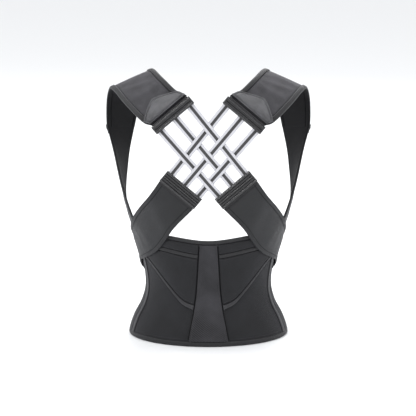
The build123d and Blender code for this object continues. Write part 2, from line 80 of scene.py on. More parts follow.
# %% Hang the lights and lay the floor
def soft_light(name, place, aim, size, power):
    """A square soft light that looks at a point."""
    data = bpy.data.lights.new(name, "AREA")
    data.size = size
    data.energy = power
    light = bpy.data.objects.new(name, data)
    light.location = place
    away = light.location - type(light.location)(aim)
    light.rotation_euler = away.to_track_quat("Z", "Y").to_euler()
    bpy.context.scene.collection.objects.link(light)


soft_light("key", (-1.7, -1.5, 2.2), (0, 0, 0.25), 0.8, 40)
soft_light("fill", (2.2, -1.2, 1.3), (0, 0, 0.25), 1.0, 14)
soft_light("top", (0.1, 0.7, 2.3), (0, 0, 0.3), 1.0, 34)
soft_light("front", (0.6, 2.4, 1.4), (0, 0, 0.25), 1.3, 9)

world = bpy.data.worlds.new("studio")
bpy.context.scene.world = world
world.use_nodes = True
world.node_tree.nodes["Background"].inputs["Color"].default_value = (0.985, 0.99, 1.0, 1)
world.node_tree.nodes["Background"].inputs["Strength"].default_value = 1.0
bpy.context.scene.view_settings.view_transform = "Standard"

FLOOR_HALF, FLOOR_DROP = 7.0, 0.4 * MM
floor_mesh = bpy.data.meshes.new("floor")
corners = [(-1, -1), (1, -1), (1, 1), (-1, 1)]
floor_mesh.from_pydata(
    [(x * FLOOR_HALF, y * FLOOR_HALF, -FLOOR_DROP) for x, y in corners], [], [(0, 1, 2, 3)]
)
floor = bpy.data.objects.new("floor", floor_mesh)
bpy.context.scene.collection.objects.link(floor)
floor_paint = bpy.data.materials.new("floor_paint")
floor_paint.use_nodes = True
floor_shader = floor_paint.node_tree.nodes["Principled BSDF"]
floor_shader.inputs["Base Color"].default_value = (0.86, 0.87, 0.88, 1)
floor_shader.inputs["Roughness"].default_value = 0.7
floor_mesh.materials.append(floor_paint)

# %% [markdown]
# ## The body that the brace is cut for
# Every panel lies on one oval body. Its half width and half depth change with height,
# and a smooth curve runs through a few measured heights. A point is then given the
# way a tailor thinks: an angle round the body, a height, and how many layers out.

# %% Curves and the body
TORSO = [
    (0.0, 0.139, 0.105), (0.030, 0.131, 0.0995), (0.060, 0.116, 0.0905),
    (0.090, 0.109, 0.0855), (0.130, 0.113, 0.0885), (0.190, 0.1285, 0.096),
    (0.225, 0.1415, 0.0995), (0.330, 0.161, 0.107),
]
MIRROR_BELOW = [(-0.030, 0.131, 0.0995)]


def smooth(stations, at):
    """Values on a smooth curve through stations, each (place, value, value...)."""
    table = np.array(stations, float)
    places, values = table[:, 0], table[:, 1:]
    last = len(places) - 1
    order = np.arange(last + 1)
    high, low = np.minimum(order + 1, last), np.maximum(order - 1, 0)
    slopes = (values[high] - values[low]) / (places[high] - places[low])[:, None]
    at = np.clip(np.asarray(at, float), places[0], places[-1])
    left = np.clip(np.searchsorted(places, at, side="right") - 1, 0, last - 1)
    span = (places[left + 1] - places[left])[..., None]
    t = (at - places[left])[..., None] / span
    return (
        values[left] * (2 * t**3 - 3 * t**2 + 1)
        + span * slopes[left] * (t**3 - 2 * t**2 + t)
        + values[left + 1] * (3 * t**2 - 2 * t**3)
        + span * slopes[left + 1] * (t**3 - t**2)
    )


def ease(t):
    """0 to 1, level at both ends."""
    t = np.clip(t, 0.0, 1.0)
    return t * t * (3 - 2 * t)


def unit(vector):
    """The vector or vectors at length one."""
    vector = np.asarray(vector, float)
    return vector / np.maximum(np.linalg.norm(vector, axis=-1, keepdims=True), 1e-12)


def skin(angle, height, out):
    """Points off the body. The angle runs from the spine, positive to +X."""
    angle, height, out = np.broadcast_arrays(
        np.asarray(angle, float), np.asarray(height, float), np.asarray(out, float)
    )
    step = 0.5 * MM
    size = smooth(MIRROR_BELOW + TORSO, height)
    above = smooth(MIRROR_BELOW + TORSO, height + step)
    below = smooth(MIRROR_BELOW + TORSO, height - step)
    slope = (above - below) / (2 * step)
    s, c = np.sin(np.radians(angle)), np.cos(np.radians(angle))
    width, depth = size[..., 0], size[..., 1]
    lean = width * slope[..., 1] * c * c + depth * slope[..., 0] * s * s
    normal = unit(np.stack([depth * s, -width * c, -lean], -1))
    base = np.stack([width * s, -depth * c, height], -1)
    return base + normal * out[..., None]


print("half width at the waist", skin(90, 0.09, 0)[0].round(4))

# %% [markdown]
# ## Cloth, thread and piping
# A sheet of cloth isn't a flat card: its edges roll over, its face rises and falls by
# tenths of a millimetre, and thread stands proud of it. Solidify and bevel could do
# the edge, but building the grid directly keeps exact edges and lets each point carry
# its place on the flat cloth, so that a weave follows the strap instead of the room.


# %% A piece gathers cloth, thread and piping into one mesh
class Piece:
    """The mesh parts of one sewn piece, kept apart until it is made."""

    def __init__(self):
        self.points, self.faces, self.finishes, self.flat = [], [], [], []
        self.count = 0
        self.cut = None

    def add(self, points, faces, finish, flat):
        """Points (n, 3), faces (m, 4), a finish number and places on the cloth."""
        self.points.append(points.reshape(-1, 3))
        self.flat.append(flat.reshape(-1, 3))
        self.faces.append(faces.reshape(-1, 4) + self.count)
        self.finishes.append(np.full(len(self.faces[-1]), finish, np.int32))
        self.count += len(self.points[-1])

    def make(self, name, finishes, right=False):
        """The finished object. right=True gives the right-hand twin."""
        points = np.concatenate(self.points)
        faces = np.concatenate(self.faces)
        if right:
            points = points * np.array([-1.0, 1.0, 1.0])
            faces = faces[:, ::-1]
        mesh = bpy.data.meshes.new(name)
        mesh.from_pydata(points.tolist(), [], faces.tolist())
        mesh.polygons.foreach_set("material_index", np.concatenate(self.finishes))
        mesh.polygons.foreach_set("use_smooth", np.ones(len(faces), bool))
        cloth_place = mesh.attributes.new("cloth", "FLOAT_VECTOR", "POINT")
        flat = np.concatenate(self.flat).astype(np.float32)
        cloth_place.data.foreach_set("vector", flat.ravel())
        for finish in finishes:
            mesh.materials.append(finish)
        mesh.validate()
        made = bpy.data.objects.new(name, mesh)
        bpy.context.scene.collection.objects.link(made)
        return made


def grid_faces(across, up, closed_across=False):
    """Quads of a grid of points (across, up), the first index counting slowest."""
    a = np.arange(across if closed_across else across - 1)
    b = np.arange(up - 1)
    a, b = np.meshgrid(a, b, indexing="ij")
    after = (a + 1) % across
    corners = [a * up + b, after * up + b, after * up + b + 1, a * up + b + 1]
    return np.stack(corners, -1).reshape(-1, 4)


# %% [markdown]
# ### Rolled edges
# The outer and the inner face share one loop of points at mid thickness. Two more
# rows close to the edge climb a quarter circle to full thickness.

# %% Sheets
ROLL_STEPS = ((0.0, 0.0), (0.3, 0.71), (1.0, 1.0))


def spread(cells, roll):
    """Places 0 to 1 with extra rows near both ends, and the height of each row."""
    inner = np.linspace(roll, 1 - roll, cells + 1)[1:-1]
    near = np.array([step * roll for step, _ in ROLL_STEPS])
    rise = np.array([height for _, height in ROLL_STEPS])
    places = np.concatenate([near, inner, 1 - near[::-1]])
    return places, np.concatenate([rise, np.ones(len(inner)), rise[::-1]])


def span_of(place, axis):
    """Length of a sheet along its middle line."""
    t = np.linspace(0, 1, 25)
    half = np.full_like(t, 0.5)
    line = place(t, half, 0.0) if axis == 0 else place(half, t, 0.0)
    return np.linalg.norm(np.diff(line, axis=0), axis=1).sum()


def cut_size(place, u, v):
    """Width, length and area of the flat cloth that a sheet is cut from."""
    points = place(u, v, 0.0)
    along, up = np.diff(points, axis=0), np.diff(points, axis=1)
    wide = np.linalg.norm(along, axis=2).sum(axis=0).max()
    tall = np.linalg.norm(up, axis=2).sum(axis=1).max()
    area = np.linalg.norm(np.cross(along[:, :-1], up[:-1, :]), axis=2).sum()
    return float(wide), float(tall), float(min(area, wide * tall))


def sheet(
    piece, place, thickness, cell=2.5 * MM, relief=None, roll=0.8 * MM, finish=0, inside=None,
):
    """A closed sheet of cloth. place(u, v, out) gives its points, and relief(x, y, u,
    v) raises its outer face, where x and y are metres on the flat cloth. finish and
    inside number the finishes of its outer and its inner face."""
    wide, tall = span_of(place, 0), span_of(place, 1)
    u, rise_u = spread(max(2, round(wide / cell)), min(0.3, roll / wide))
    v, rise_v = spread(max(2, round(tall / cell)), min(0.3, roll / tall))
    u, v = np.meshgrid(u, v, indexing="ij")
    rise = np.minimum(rise_u[:, None], rise_v[None, :])
    x, y = (u - 0.5) * wide, (v - 0.5) * tall
    bump = relief(x, y, u, v) if relief else 0.0
    outer = place(u, v, thickness * (0.5 + 0.5 * rise) + bump * rise)
    inner = place(u, v, thickness * (0.5 - 0.5 * rise))
    flat = np.stack([x, y, np.zeros_like(x)], -1)
    if piece.cut is None:
        piece.cut = cut_size(place, u, v)
    across, up = u.shape
    number = np.arange(across * up).reshape(across, up)
    edge = np.zeros((across, up), bool)
    edge[[0, -1], :] = True
    edge[:, [0, -1]] = True
    below = np.where(edge, number, number + across * up)
    faces = grid_faces(across, up)
    back = below.reshape(-1)[faces][:, ::-1]
    piece.add(
        np.concatenate([outer.reshape(-1, 3), inner.reshape(-1, 3)]),
        np.concatenate([faces, back]), finish,
        np.concatenate([flat.reshape(-1, 3)] * 2),
    )
    if inside is not None:
        piece.finishes[-1][len(faces):] = inside


def crowned(height, sink=0.0, power=2):
    """Relief of a strip that is highest along its middle."""
    return lambda x, y, u, v: height * (1 - (2 * v - 1) ** power) - sink


def soft_waves(x, y, length, seed):
    """Gentle unevenness from -1 to 1, the same each time for a seed."""
    draw = np.random.default_rng(seed)
    total = 0.0
    for _ in range(7):
        turn, shift = draw.uniform(0, 2 * pi, 2)
        pace = 2 * pi / (length * draw.uniform(0.6, 1.7))
        total = total + np.sin((x * cos(turn) + y * sin(turn)) * pace + shift)
    return total / 4.0


# %% [markdown]
# ### Thread
# A machine stitch is a short length of thread that dives into the cloth at both ends.
# Each one here is a small closed tube along the seam's line, straight or in a zigzag.
# Curves with a bevel would do, but thousands of them are slow, so one array makes all.

# %% Stitches and piping
STITCH_RINGS = ((0.0, 0.35, -0.45), (0.2, 0.9, 0.1), (0.8, 0.9, 0.1), (1.0, 0.35, -0.45))
STITCH_SIDES, STITCH_REACH = 4, 0.36
PIPING_SIDES, PIPING_STEP, PIPING_TIP = 8, 2.5 * MM, 0.15


def walk(place, path, out, pitch):
    """Evenly spaced points, directions and normals along a path of (u, v) places."""
    path = np.asarray(path, float)
    fine = np.linspace(0, len(path) - 1, 24 * (len(path) - 1) + 1)
    order = np.arange(len(path))
    u, v = np.interp(fine, order, path[:, 0]), np.interp(fine, order, path[:, 1])
    line, lifted = place(u, v, out), place(u, v, out + MM)
    run = np.concatenate([[0], np.linalg.norm(np.diff(line, axis=0), axis=1).cumsum()])
    stops = np.linspace(0, run[-1], max(2, round(run[-1] / pitch) + 1))
    spots = np.stack([np.interp(stops, run, line[:, i]) for i in range(3)], -1)
    tips = np.stack([np.interp(stops, run, lifted[:, i]) for i in range(3)], -1)
    normal = unit(tips - spots)
    along = unit(np.gradient(spots, axis=0))
    return spots, along, normal


def end_caps(sides, up):
    """Quads that close both ends of a tube with an even number of sides."""
    fans = [[0, k, k + 1, k + 2] for k in range(1, sides - 2, 2)]
    first = np.array(fans) * up
    return np.concatenate([first[:, ::-1], first + up - 1])


def thread(piece, starts, ends, normal, width, finish):
    """One stitch from each start to each end."""
    along = unit(ends - starts)
    side = unit(np.cross(normal, along))
    rings = []
    for share, swell, lift in STITCH_RINGS:
        centre = starts + (ends - starts) * share + normal * (lift * width)
        turns = [2 * pi * k / STITCH_SIDES for k in range(STITCH_SIDES)]
        ring = [
            centre + (side * cos(a) + normal * sin(a)) * (swell * width / 2) for a in turns
        ]
        rings.append(np.stack(ring, 1))
    points = np.stack(rings, 2)
    one = grid_faces(STITCH_SIDES, len(STITCH_RINGS), closed_across=True)
    one = np.concatenate([one, end_caps(STITCH_SIDES, len(STITCH_RINGS))])
    per = STITCH_SIDES * len(STITCH_RINGS)
    faces = (one[None] + np.arange(len(starts))[:, None, None] * per).reshape(-1, 4)
    piece.add(points, faces, finish, np.zeros((len(starts) * per, 3)))


def seam(piece, place, path, out, pitch=3.2 * MM, width=0.55 * MM, finish=1):
    """A straight row of stitches."""
    spots, along, normal = walk(place, path, out, pitch)
    half = along * pitch * STITCH_REACH
    thread(piece, spots - half, spots + half, normal, width, finish)


def zigzag(piece, place, path, out, swing, pitch=2.4 * MM, width=0.6 * MM, finish=1):
    """A zigzag row, swinging to each side of the path."""
    spots, along, normal = walk(place, path, out, pitch)
    side = np.cross(normal, along)
    sign = np.where(np.arange(len(spots)) % 2 == 0, 1.0, -1.0)[:, None]
    corners = spots + side * sign * swing
    thread(piece, corners[:-1], corners[1:], normal[:-1], width, finish)


def piping(piece, place, path, out, radius, finish=1):
    """A round cord sewn along a path."""
    spots, along, normal = walk(place, path, out, PIPING_STEP)
    side = unit(np.cross(normal, along))
    turns = [2 * pi * k / PIPING_SIDES for k in range(PIPING_SIDES)]
    taper = np.ones((len(spots), 1))
    taper[[0, -1]] = PIPING_TIP
    ring = [spots + (side * cos(a) + normal * sin(a)) * radius * taper for a in turns]
    faces = grid_faces(PIPING_SIDES, len(spots), closed_across=True)
    faces = np.concatenate([faces, end_caps(PIPING_SIDES, len(spots))])
    flat = np.zeros((PIPING_SIDES, len(spots), 3))
    flat[..., 0] = np.linspace(0, 1, len(spots)) * span_of(place, 0)
    piece.add(np.stack(ring, 0), faces, finish, flat)


def level_path(v, start=0.0, end=1.0, steps=24):
    """A path along a sheet at one v."""
    return [(start + (end - start) * i / steps, v) for i in range(steps + 1)]


def upright_path(u, start=0.0, end=1.0, steps=16):
    """A path up a sheet at one u."""
    return [(u, start + (end - start) * i / steps) for i in range(steps + 1)]


print("thread, piping and sheets ready")

# %% [markdown]
# ## Shader groups
# Several cloths share the same effects: a woven surface, a rib, a soft fading with
# lint on it, and a grain. Each is a node group with named inputs, built once, and each
# material places it with its own values. They put out masks and heights only.


# %% Helpers that add nodes
def add(tree, kind, settings=None, **sockets):
    """A node with its settings and its sockets, where a socket's value can be a link."""
    made = tree.nodes.new("ShaderNode" + kind)
    for key, value in (settings or {}).items():
        setattr(made, key, value)
    for key, value in sockets.items():
        plug(tree, made.inputs[key.replace("_", " ")], value)
    return made


def plug(tree, socket, value):
    """Links an output to a socket, or sets the socket's value."""
    if isinstance(value, bpy.types.NodeSocket):
        tree.links.new(value, socket)
    else:
        socket.default_value = value


def calc(tree, operation, *values):
    """The result of one Math node."""
    made = add(tree, "Math", {"operation": operation})
    for socket, value in zip(made.inputs, values):
        plug(tree, socket, value)
    return made.outputs[0]


def new_group(name, inputs, outputs):
    """An empty node group with its input and output nodes."""
    tree = bpy.data.node_groups.new(name, "ShaderNodeTree")
    for label, kind, value in inputs:
        socket = tree.interface.new_socket(label, in_out="INPUT", socket_type=kind)
        if value is not None:
            socket.default_value = value
    for label in outputs:
        tree.interface.new_socket(label, in_out="OUTPUT", socket_type="NodeSocketFloat")
    return tree, tree.nodes.new("NodeGroupInput"), tree.nodes.new("NodeGroupOutput")


PLACE_INPUT = ("Place", "NodeSocketVector", None)


# %% Woven surface
def weave_group():
    """Threads that pass over and under each other."""
    inputs = [PLACE_INPUT, ("Thread", "NodeSocketFloat", 0.0011)]
    tree, given, result = new_group("woven threads", inputs, ["Height", "Shade"])
    split = add(tree, "SeparateXYZ", Vector=given.outputs["Place"])
    pace = calc(tree, "DIVIDE", pi, given.outputs["Thread"])
    warp = calc(tree, "SINE", calc(tree, "MULTIPLY", split.outputs["X"], pace))
    weft = calc(tree, "SINE", calc(tree, "MULTIPLY", split.outputs["Y"], pace))
    over = calc(tree, "GREATER_THAN", calc(tree, "MULTIPLY", warp, weft), 0.0)
    warp_up = calc(tree, "MULTIPLY", calc(tree, "ABSOLUTE", warp), over)
    under = calc(tree, "SUBTRACT", 1.0, over)
    weft_up = calc(tree, "MULTIPLY", calc(tree, "ABSOLUTE", weft), under)
    height = calc(tree, "ADD", warp_up, weft_up)
    tree.links.new(height, result.inputs["Height"])
    tree.links.new(calc(tree, "POWER", height, 0.5), result.inputs["Shade"])
    return tree


# %% Ribs, slanted or straight
def rib_group():
    """Parallel ribs at a pitch and a slant."""
    inputs = [PLACE_INPUT, ("Pitch", "NodeSocketFloat", 0.002)]
    inputs += [("Slant", "NodeSocketFloat", 0.7)]
    tree, given, result = new_group("ribs", inputs, ["Height", "Shade"])
    split = add(tree, "SeparateXYZ", Vector=given.outputs["Place"])
    slant = given.outputs["Slant"]
    along_x = calc(tree, "MULTIPLY", split.outputs["X"], calc(tree, "COSINE", slant))
    along_y = calc(tree, "MULTIPLY", split.outputs["Y"], calc(tree, "SINE", slant))
    pace = calc(tree, "DIVIDE", 2 * pi, given.outputs["Pitch"])
    wave = calc(tree, "SINE", calc(tree, "MULTIPLY", calc(tree, "ADD", along_x, along_y), pace))
    height = calc(tree, "MULTIPLY_ADD", wave, 0.5, 0.5)
    tree.links.new(height, result.inputs["Height"])
    tree.links.new(calc(tree, "POWER", height, 0.6), result.inputs["Shade"])
    return tree


# %% Fading and lint
def wear_group():
    """Soft patches of fading, and scattered specks of lint."""
    inputs = [PLACE_INPUT, ("Patch", "NodeSocketFloat", 0.05)]
    tree, given, result = new_group("fading and lint", inputs, ["Fade", "Lint"])
    size = calc(tree, "DIVIDE", 1.0, given.outputs["Patch"])
    cloud = add(tree, "TexNoise", Vector=given.outputs["Place"], Scale=size, Detail=4.0)
    fade = add(tree, "MapRange", Value=cloud.outputs["Fac"], From_Min=0.35, From_Max=0.7)
    specks = add(tree, "TexVoronoi", Vector=given.outputs["Place"], Scale=260.0)
    near = calc(tree, "LESS_THAN", specks.outputs["Distance"], 0.12)
    rare = add(tree, "SeparateColor", Color=specks.outputs["Color"])
    chosen = calc(tree, "GREATER_THAN", rare.outputs["Red"], 0.93)
    tree.links.new(fade.outputs["Result"], result.inputs["Fade"])
    tree.links.new(calc(tree, "MULTIPLY", near, chosen), result.inputs["Lint"])
    return tree


# %% Leather and moulded grain
def grain_group():
    """Small rounded cells with creases between them."""
    inputs = [PLACE_INPUT, ("Cell", "NodeSocketFloat", 0.0016)]
    tree, given, result = new_group("grain", inputs, ["Height", "Crease"])
    size = calc(tree, "DIVIDE", 1.0, given.outputs["Cell"])
    cells = add(
        tree, "TexVoronoi", {"feature": "DISTANCE_TO_EDGE"},
        Vector=given.outputs["Place"], Scale=size,
    )
    swell = add(tree, "MapRange", Value=cells.outputs["Distance"], From_Max=0.25)
    fine = add(tree, "TexNoise", Vector=given.outputs["Place"], Scale=size, Detail=5.0)
    height = calc(tree, "MULTIPLY_ADD", fine.outputs["Fac"], 0.35, swell.outputs["Result"])
    tree.links.new(height, result.inputs["Height"])
    # Crease darkens the creases between the cells: painted shade.
    crease = calc(tree, "SUBTRACT", 1.0, swell.outputs["Result"])
    tree.links.new(crease, result.inputs["Crease"])
    return tree


GROUPS = {
    "weave": weave_group(), "rib": rib_group(), "wear": wear_group(), "grain": grain_group(),
}
print("shader groups", [group.name for group in GROUPS.values()])

# %% [markdown]
# ## Cloth finishes
# A cloth material mixes a thread colour with a darker colour, painted shade in the gaps,
# by the pattern's shade mask, fades in soft patches, and scatters a little lint. Its
# sheen is the glow that short fibres give at a glancing angle, set straight on the
# shader because it is even all over.


# %% One recipe for the woven finishes
def place_on_cloth(tree, carried):
    """Where the surface is: on the flat cloth, or in the room for carried-over parts."""
    if carried:
        return add(tree, "NewGeometry").outputs["Position"]
    return add(tree, "Attribute", {"attribute_name": "cloth"}).outputs["Vector"]


def use_group(tree, name, place, **values):
    """One of the shared groups, placed in a material."""
    made = tree.nodes.new("ShaderNodeGroup")
    made.node_tree = GROUPS[name]
    plug(tree, made.inputs["Place"], place)
    for key, value in values.items():
        made.inputs[key].default_value = value
    return made


def blend_colour(tree, factor, first, second):
    """A colour between two others."""
    made = add(tree, "Mix", {"data_type": "RGBA"})
    plug(tree, made.inputs["Factor"], factor)
    plug(tree, made.inputs[6], first)
    plug(tree, made.inputs[7], second)
    return made.outputs[2]


def raise_surface(tree, shader, height, depth):
    """Bump from a height."""
    bump = add(tree, "Bump", Height=height, Distance=depth, Strength=1.0)
    tree.links.new(bump.outputs["Normal"], shader.inputs["Normal"])


LINT_COLOUR, SHEEN_TINT = (0.16, 0.16, 0.17, 1), (0.93, 0.9, 1.0, 1)
SHEEN_ROUGHNESS, FADE_ROUGHNESS = 0.45, 0.08


def finish(
    name, colour, gap_shade_colour, pattern, values, depth, roughness,
    sheen=0.06, fade=1.35, lint=0.12, carried=False, patch=0.05, specular=0.2,
):
    """A finish made of one pattern, with painted shade in its gaps, troughs and creases, fading
    and lint.
    """
    made = bpy.data.materials.new(name)
    made.use_nodes = True
    tree = made.node_tree
    shader = tree.nodes["Principled BSDF"]
    place = place_on_cloth(tree, carried)
    surface = use_group(tree, pattern, place, **values)
    # The weave's gaps, the rib's troughs and the grain's creases take the darker colour: painted
    # shade.
    mask = surface.outputs["Crease" if pattern == "grain" else "Shade"]
    light, dark = (colour, gap_shade_colour) if pattern != "grain" else (gap_shade_colour, colour)
    base = blend_colour(tree, mask, (*dark, 1), (*light, 1))
    wear = use_group(tree, "wear", place, Patch=patch)
    faded = blend_colour(tree, wear.outputs["Fade"], base, (*[c * fade for c in colour], 1))
    faint = calc(tree, "MULTIPLY", wear.outputs["Lint"], lint)
    final = blend_colour(tree, faint, faded, LINT_COLOUR)
    tree.links.new(final, shader.inputs["Base Color"])
    least = roughness - FADE_ROUGHNESS / 2
    rough = calc(tree, "MULTIPLY_ADD", wear.outputs["Fade"], FADE_ROUGHNESS, least)
    tree.links.new(rough, shader.inputs["Roughness"])
    shader.inputs["Specular IOR Level"].default_value = specular
    shader.inputs["Sheen Weight"].default_value = sheen
    shader.inputs["Sheen Roughness"].default_value = SHEEN_ROUGHNESS
    shader.inputs["Sheen Tint"].default_value = SHEEN_TINT
    raise_surface(tree, shader, surface.outputs["Height"], depth)
    return made


INK = (0.0125, 0.0128, 0.0145)
# Near-black painted shade for the gaps, troughs and creases of the patterns.
PAINTED_GAP_SHADE = (0.003, 0.003, 0.0035)
PANEL_CLOTH = finish("panel_cloth", INK, PAINTED_GAP_SHADE, "weave", {"Thread": 0.0009}, 0.0002, 0.66)
STRAP_CLOTH = finish(
    "strap_cloth", (0.0125, 0.0130, 0.0145), PAINTED_GAP_SHADE, "weave", {"Thread": 0.0012}, 0.00025, 0.5,
    specular=0.3,
)
# A darker, duller copy of the strap cloth for the faces turned to the body: painted shade.
SHADED_INNER_CLOTH = finish(
    "inner_face_painted_shade", (0.0055, 0.0055, 0.0065), PAINTED_GAP_SHADE, "weave", {"Thread": 0.0012}, 0.00025, 0.6,
    sheen=0.02, specular=0.12,
)
PAD_CLOTH = finish(
    "pad_cloth", (0.027, 0.0265, 0.030), (0.008, 0.008, 0.009), "weave",
    {"Thread": 0.0013}, 0.0003, 0.6, sheen=0.10, fade=1.6, patch=0.02,
)
RIB_CLOTH = finish(
    "rib_cloth", (0.028, 0.0275, 0.031), PAINTED_GAP_SHADE, "rib", {"Pitch": 0.0024, "Slant": 0.75},
    0.0004, 0.6,
)
TAPE = finish(
    "edge_tape", (0.0095, 0.0095, 0.0108), PAINTED_GAP_SHADE, "rib", {"Pitch": 0.0013, "Slant": 0.0},
    0.00025, 0.46, sheen=0.04, specular=0.35,
)
BRIGHT_TAPE = finish(
    "bright_tape", (0.030, 0.030, 0.033), PAINTED_GAP_SHADE, "rib", {"Pitch": 0.0016, "Slant": 0.0},
    0.0003, 0.42, sheen=0.06, specular=0.35,
)
LINING = finish(
    "lining_cloth", (0.016, 0.0155, 0.018), PAINTED_GAP_SHADE, "grain", {"Cell": 0.0011}, 0.0002, 0.8,
    sheen=0.15,
)
ELASTIC = finish(
    "gusset_elastic", (0.015, 0.015, 0.017), PAINTED_GAP_SHADE, "rib", {"Pitch": 0.0016, "Slant": 1.5708},
    0.0003, 0.6,
)
LOOP_PILE = finish(
    "loop_pile", (0.018, 0.018, 0.020), PAINTED_GAP_SHADE, "grain", {"Cell": 0.0016}, 0.0006, 0.9, sheen=0.25
)
HOOK_TAPE = finish(
    "hook_tape", (0.011, 0.011, 0.012), PAINTED_GAP_SHADE, "grain", {"Cell": 0.0013}, 0.0003, 0.45,
    specular=0.4,
)
THREAD = finish(
    "thread", (0.040, 0.0395, 0.043), INK, "rib", {"Pitch": 0.0006, "Slant": 0.6}, 0.0001, 0.5,
    lint=0.0,
)
# Near-black thread for stitches and cords; some of the cords stand for the shadow in grooves and
# under edges, painted shade.
DARK_THREAD_AND_GROOVE_SHADE = finish(
    "dark_thread_and_groove_shade", (0.0035, 0.0035, 0.004), (0.001, 0.001, 0.001), "rib",
    {"Pitch": 0.0006, "Slant": 0.6}, 0.0001, 0.7, sheen=0.0, fade=1.0, lint=0.0, specular=0.08,
)
LEATHER = finish(
    "patch_leather", (0.050, 0.050, 0.055), (0.026, 0.026, 0.029), "grain", {"Cell": 0.0015},
    0.00022, 0.34, sheen=0.0, patch=0.02, specular=0.5,
)
COVER = finish(
    "housing_cover", (0.0125, 0.0125, 0.014), (0.004, 0.004, 0.0045), "weave",
    {"Thread": 0.0010}, 0.00015, 0.24, sheen=0.0, carried=True, specular=0.65,
)
ROD = finish(
    "moulded_rod", (0.03, 0.03, 0.03), PAINTED_GAP_SHADE, "grain", {"Cell": 0.0008}, 0.00005, 0.4,
    sheen=0.0, carried=True, specular=0.5,
)
STAY = finish(
    "stay_plastic", (0.68, 0.68, 0.64), (0.6, 0.6, 0.56), "grain", {"Cell": 0.002},
    0.00005, 0.4, sheen=0.0, fade=1.1, carried=True, specular=0.5,
)
print("cloth finishes ready")

# %% [markdown]
# ## The pale elastic
# The crossed bands are knitted elastic: pale at both margins with a dark line down the
# middle, and fine cross ribs where the rubber cords pull the yarn together. The line
# follows the band, so its mask comes from how far a point is from the band's centre.

# %% Elastic with a dark centre line
STRIPE_HALF = 2.7 * MM
STRIPE_BLUR = 0.35 * MM


def striped_elastic():
    """Pale ribbed elastic with a dark centre line."""
    made = bpy.data.materials.new("striped_elastic")
    made.use_nodes = True
    tree = made.node_tree
    shader = tree.nodes["Principled BSDF"]
    place = place_on_cloth(tree, False)
    ribs = use_group(tree, "rib", place, Pitch=0.0017, Slant=0.0)
    wear = use_group(tree, "wear", place, Patch=0.02)
    split = add(tree, "SeparateXYZ", Vector=place)
    off_centre = calc(tree, "ABSOLUTE", split.outputs["Y"])
    line = add(
        tree, "MapRange", Value=off_centre, From_Min=STRIPE_HALF + STRIPE_BLUR,
        From_Max=STRIPE_HALF - STRIPE_BLUR,
    )
    # The rib troughs of the pale margins and of the dark line are painted darker: painted shade.
    pale = blend_colour(tree, ribs.outputs["Shade"], (0.36, 0.36, 0.39, 1), (0.62, 0.62, 0.66, 1))
    soiled = blend_colour(
        tree, calc(tree, "MULTIPLY", wear.outputs["Fade"], 0.25), pale, (0.5, 0.5, 0.52, 1)
    )
    dark = blend_colour(tree, ribs.outputs["Shade"], (*PAINTED_GAP_SHADE, 1), (0.045, 0.045, 0.048, 1))
    final = blend_colour(tree, line.outputs["Result"], soiled, dark)
    tree.links.new(final, shader.inputs["Base Color"])
    shader.inputs["Roughness"].default_value = 0.62
    shader.inputs["Sheen Weight"].default_value = 0.2
    raise_surface(tree, shader, ribs.outputs["Height"], 0.0003)
    return made


BAND_ELASTIC = striped_elastic()
print("elastic ready")

# %% [markdown]
# ## The layers of the waist panel
# The back of the belt is a sandwich: a soft lining inside, flexible strips in the
# middle, a stretch shell outside, and then the strip, the wings and the yoke sewn on
# top. Each layer's distance from the body adds up the ones below it.

# %% Layers and edges
LINING_THICK, STAY_THICK, SHELL_THICK, TRIM_THICK, STRAP_THICK = (
    0.8 * MM, 0.8 * MM, 2.2 * MM, 1.4 * MM, 2.4 * MM,
)
LAYER_GAP, TRIM_GAP, SIDE_GAP = 0.4 * MM, 0.6 * MM, 0.9 * MM
BINDING_THICK = 5.0 * MM
SHELL_AT = LINING_THICK + STAY_THICK + 2 * LAYER_GAP
TRIM_AT = SHELL_AT + SHELL_THICK + TRIM_GAP
STRAP_AT = TRIM_AT + TRIM_THICK + LAYER_GAP + 0.1 * MM
HEM_BINDING, TOP_BINDING = 9.0 * MM, 8.0 * MM
SIDE_SEAM, SIDE_END, GUSSET_END = 69.0, 92.0, 104.0
WAIST_HALF_WIDTH, WAIST_HALF_DEPTH = 0.109, 0.0855
PANEL_TOP_CENTRE = 0.191
PANEL_TOP = [
    (-40.0, 0.198), (0.0, PANEL_TOP_CENTRE), (40.0, 0.198), (62.0, 0.1875), (SIDE_END, 0.167),
    (GUSSET_END + 12.0, 0.152), (142.0, 0.136), (165.0, 0.130), (180.0, 0.130), (200.0, 0.130),
]
WING_EDGE = [(12.0, 0.061), (24.0, 0.071), (38.0, 0.097), (56.0, 0.133), (70.0, 0.152)]
YOKE_EDGE = [(10.0, 0.1625), (47.0, 0.1735), (70.0, 0.1665)]
WING_TAPE, YOKE_TAPE = 9.0 * MM, 7.0 * MM
STRIP_TOP_ANGLE, STRIP_HEM_ANGLE, STRIP_MEETS = 7.2, 15.3, 12.0
TUCK = 0.6 * MM
FIELD_LOW = HEM_BINDING - TUCK
SIDES = ("left", "right")
EDGES = ["hem_binding", "top_binding"]


def panel_top(angle):
    """Height of the waist panel's upper edge."""
    return smooth(PANEL_TOP, np.abs(angle))[..., 0]


def field_high(angle):
    """Upper edge of the panels, under the top binding."""
    return panel_top(angle) - TOP_BINDING + TUCK


def wrap(start, end, low, high, offset):
    """place(u, v, out) of a sheet round the body between two angles and two edges."""

    def place(u, v, out):
        angle = start + (end - start) * u
        base = low(angle) if callable(low) else low
        top = high(angle) if callable(high) else high
        away = offset(angle) if callable(offset) else offset
        return skin(angle, base + (top - base) * v, away + out)

    return place


def settle(obj, body, slot, node=None, rests_on=(), cut=None):
    """Ties a piece to its body and hides the part of the design that it replaces. The slot is not
    used.
    """
    if body:
        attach(obj, body)
    if node:
        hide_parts(node)
    if rests_on:
        wide, tall, area = cut
    return obj


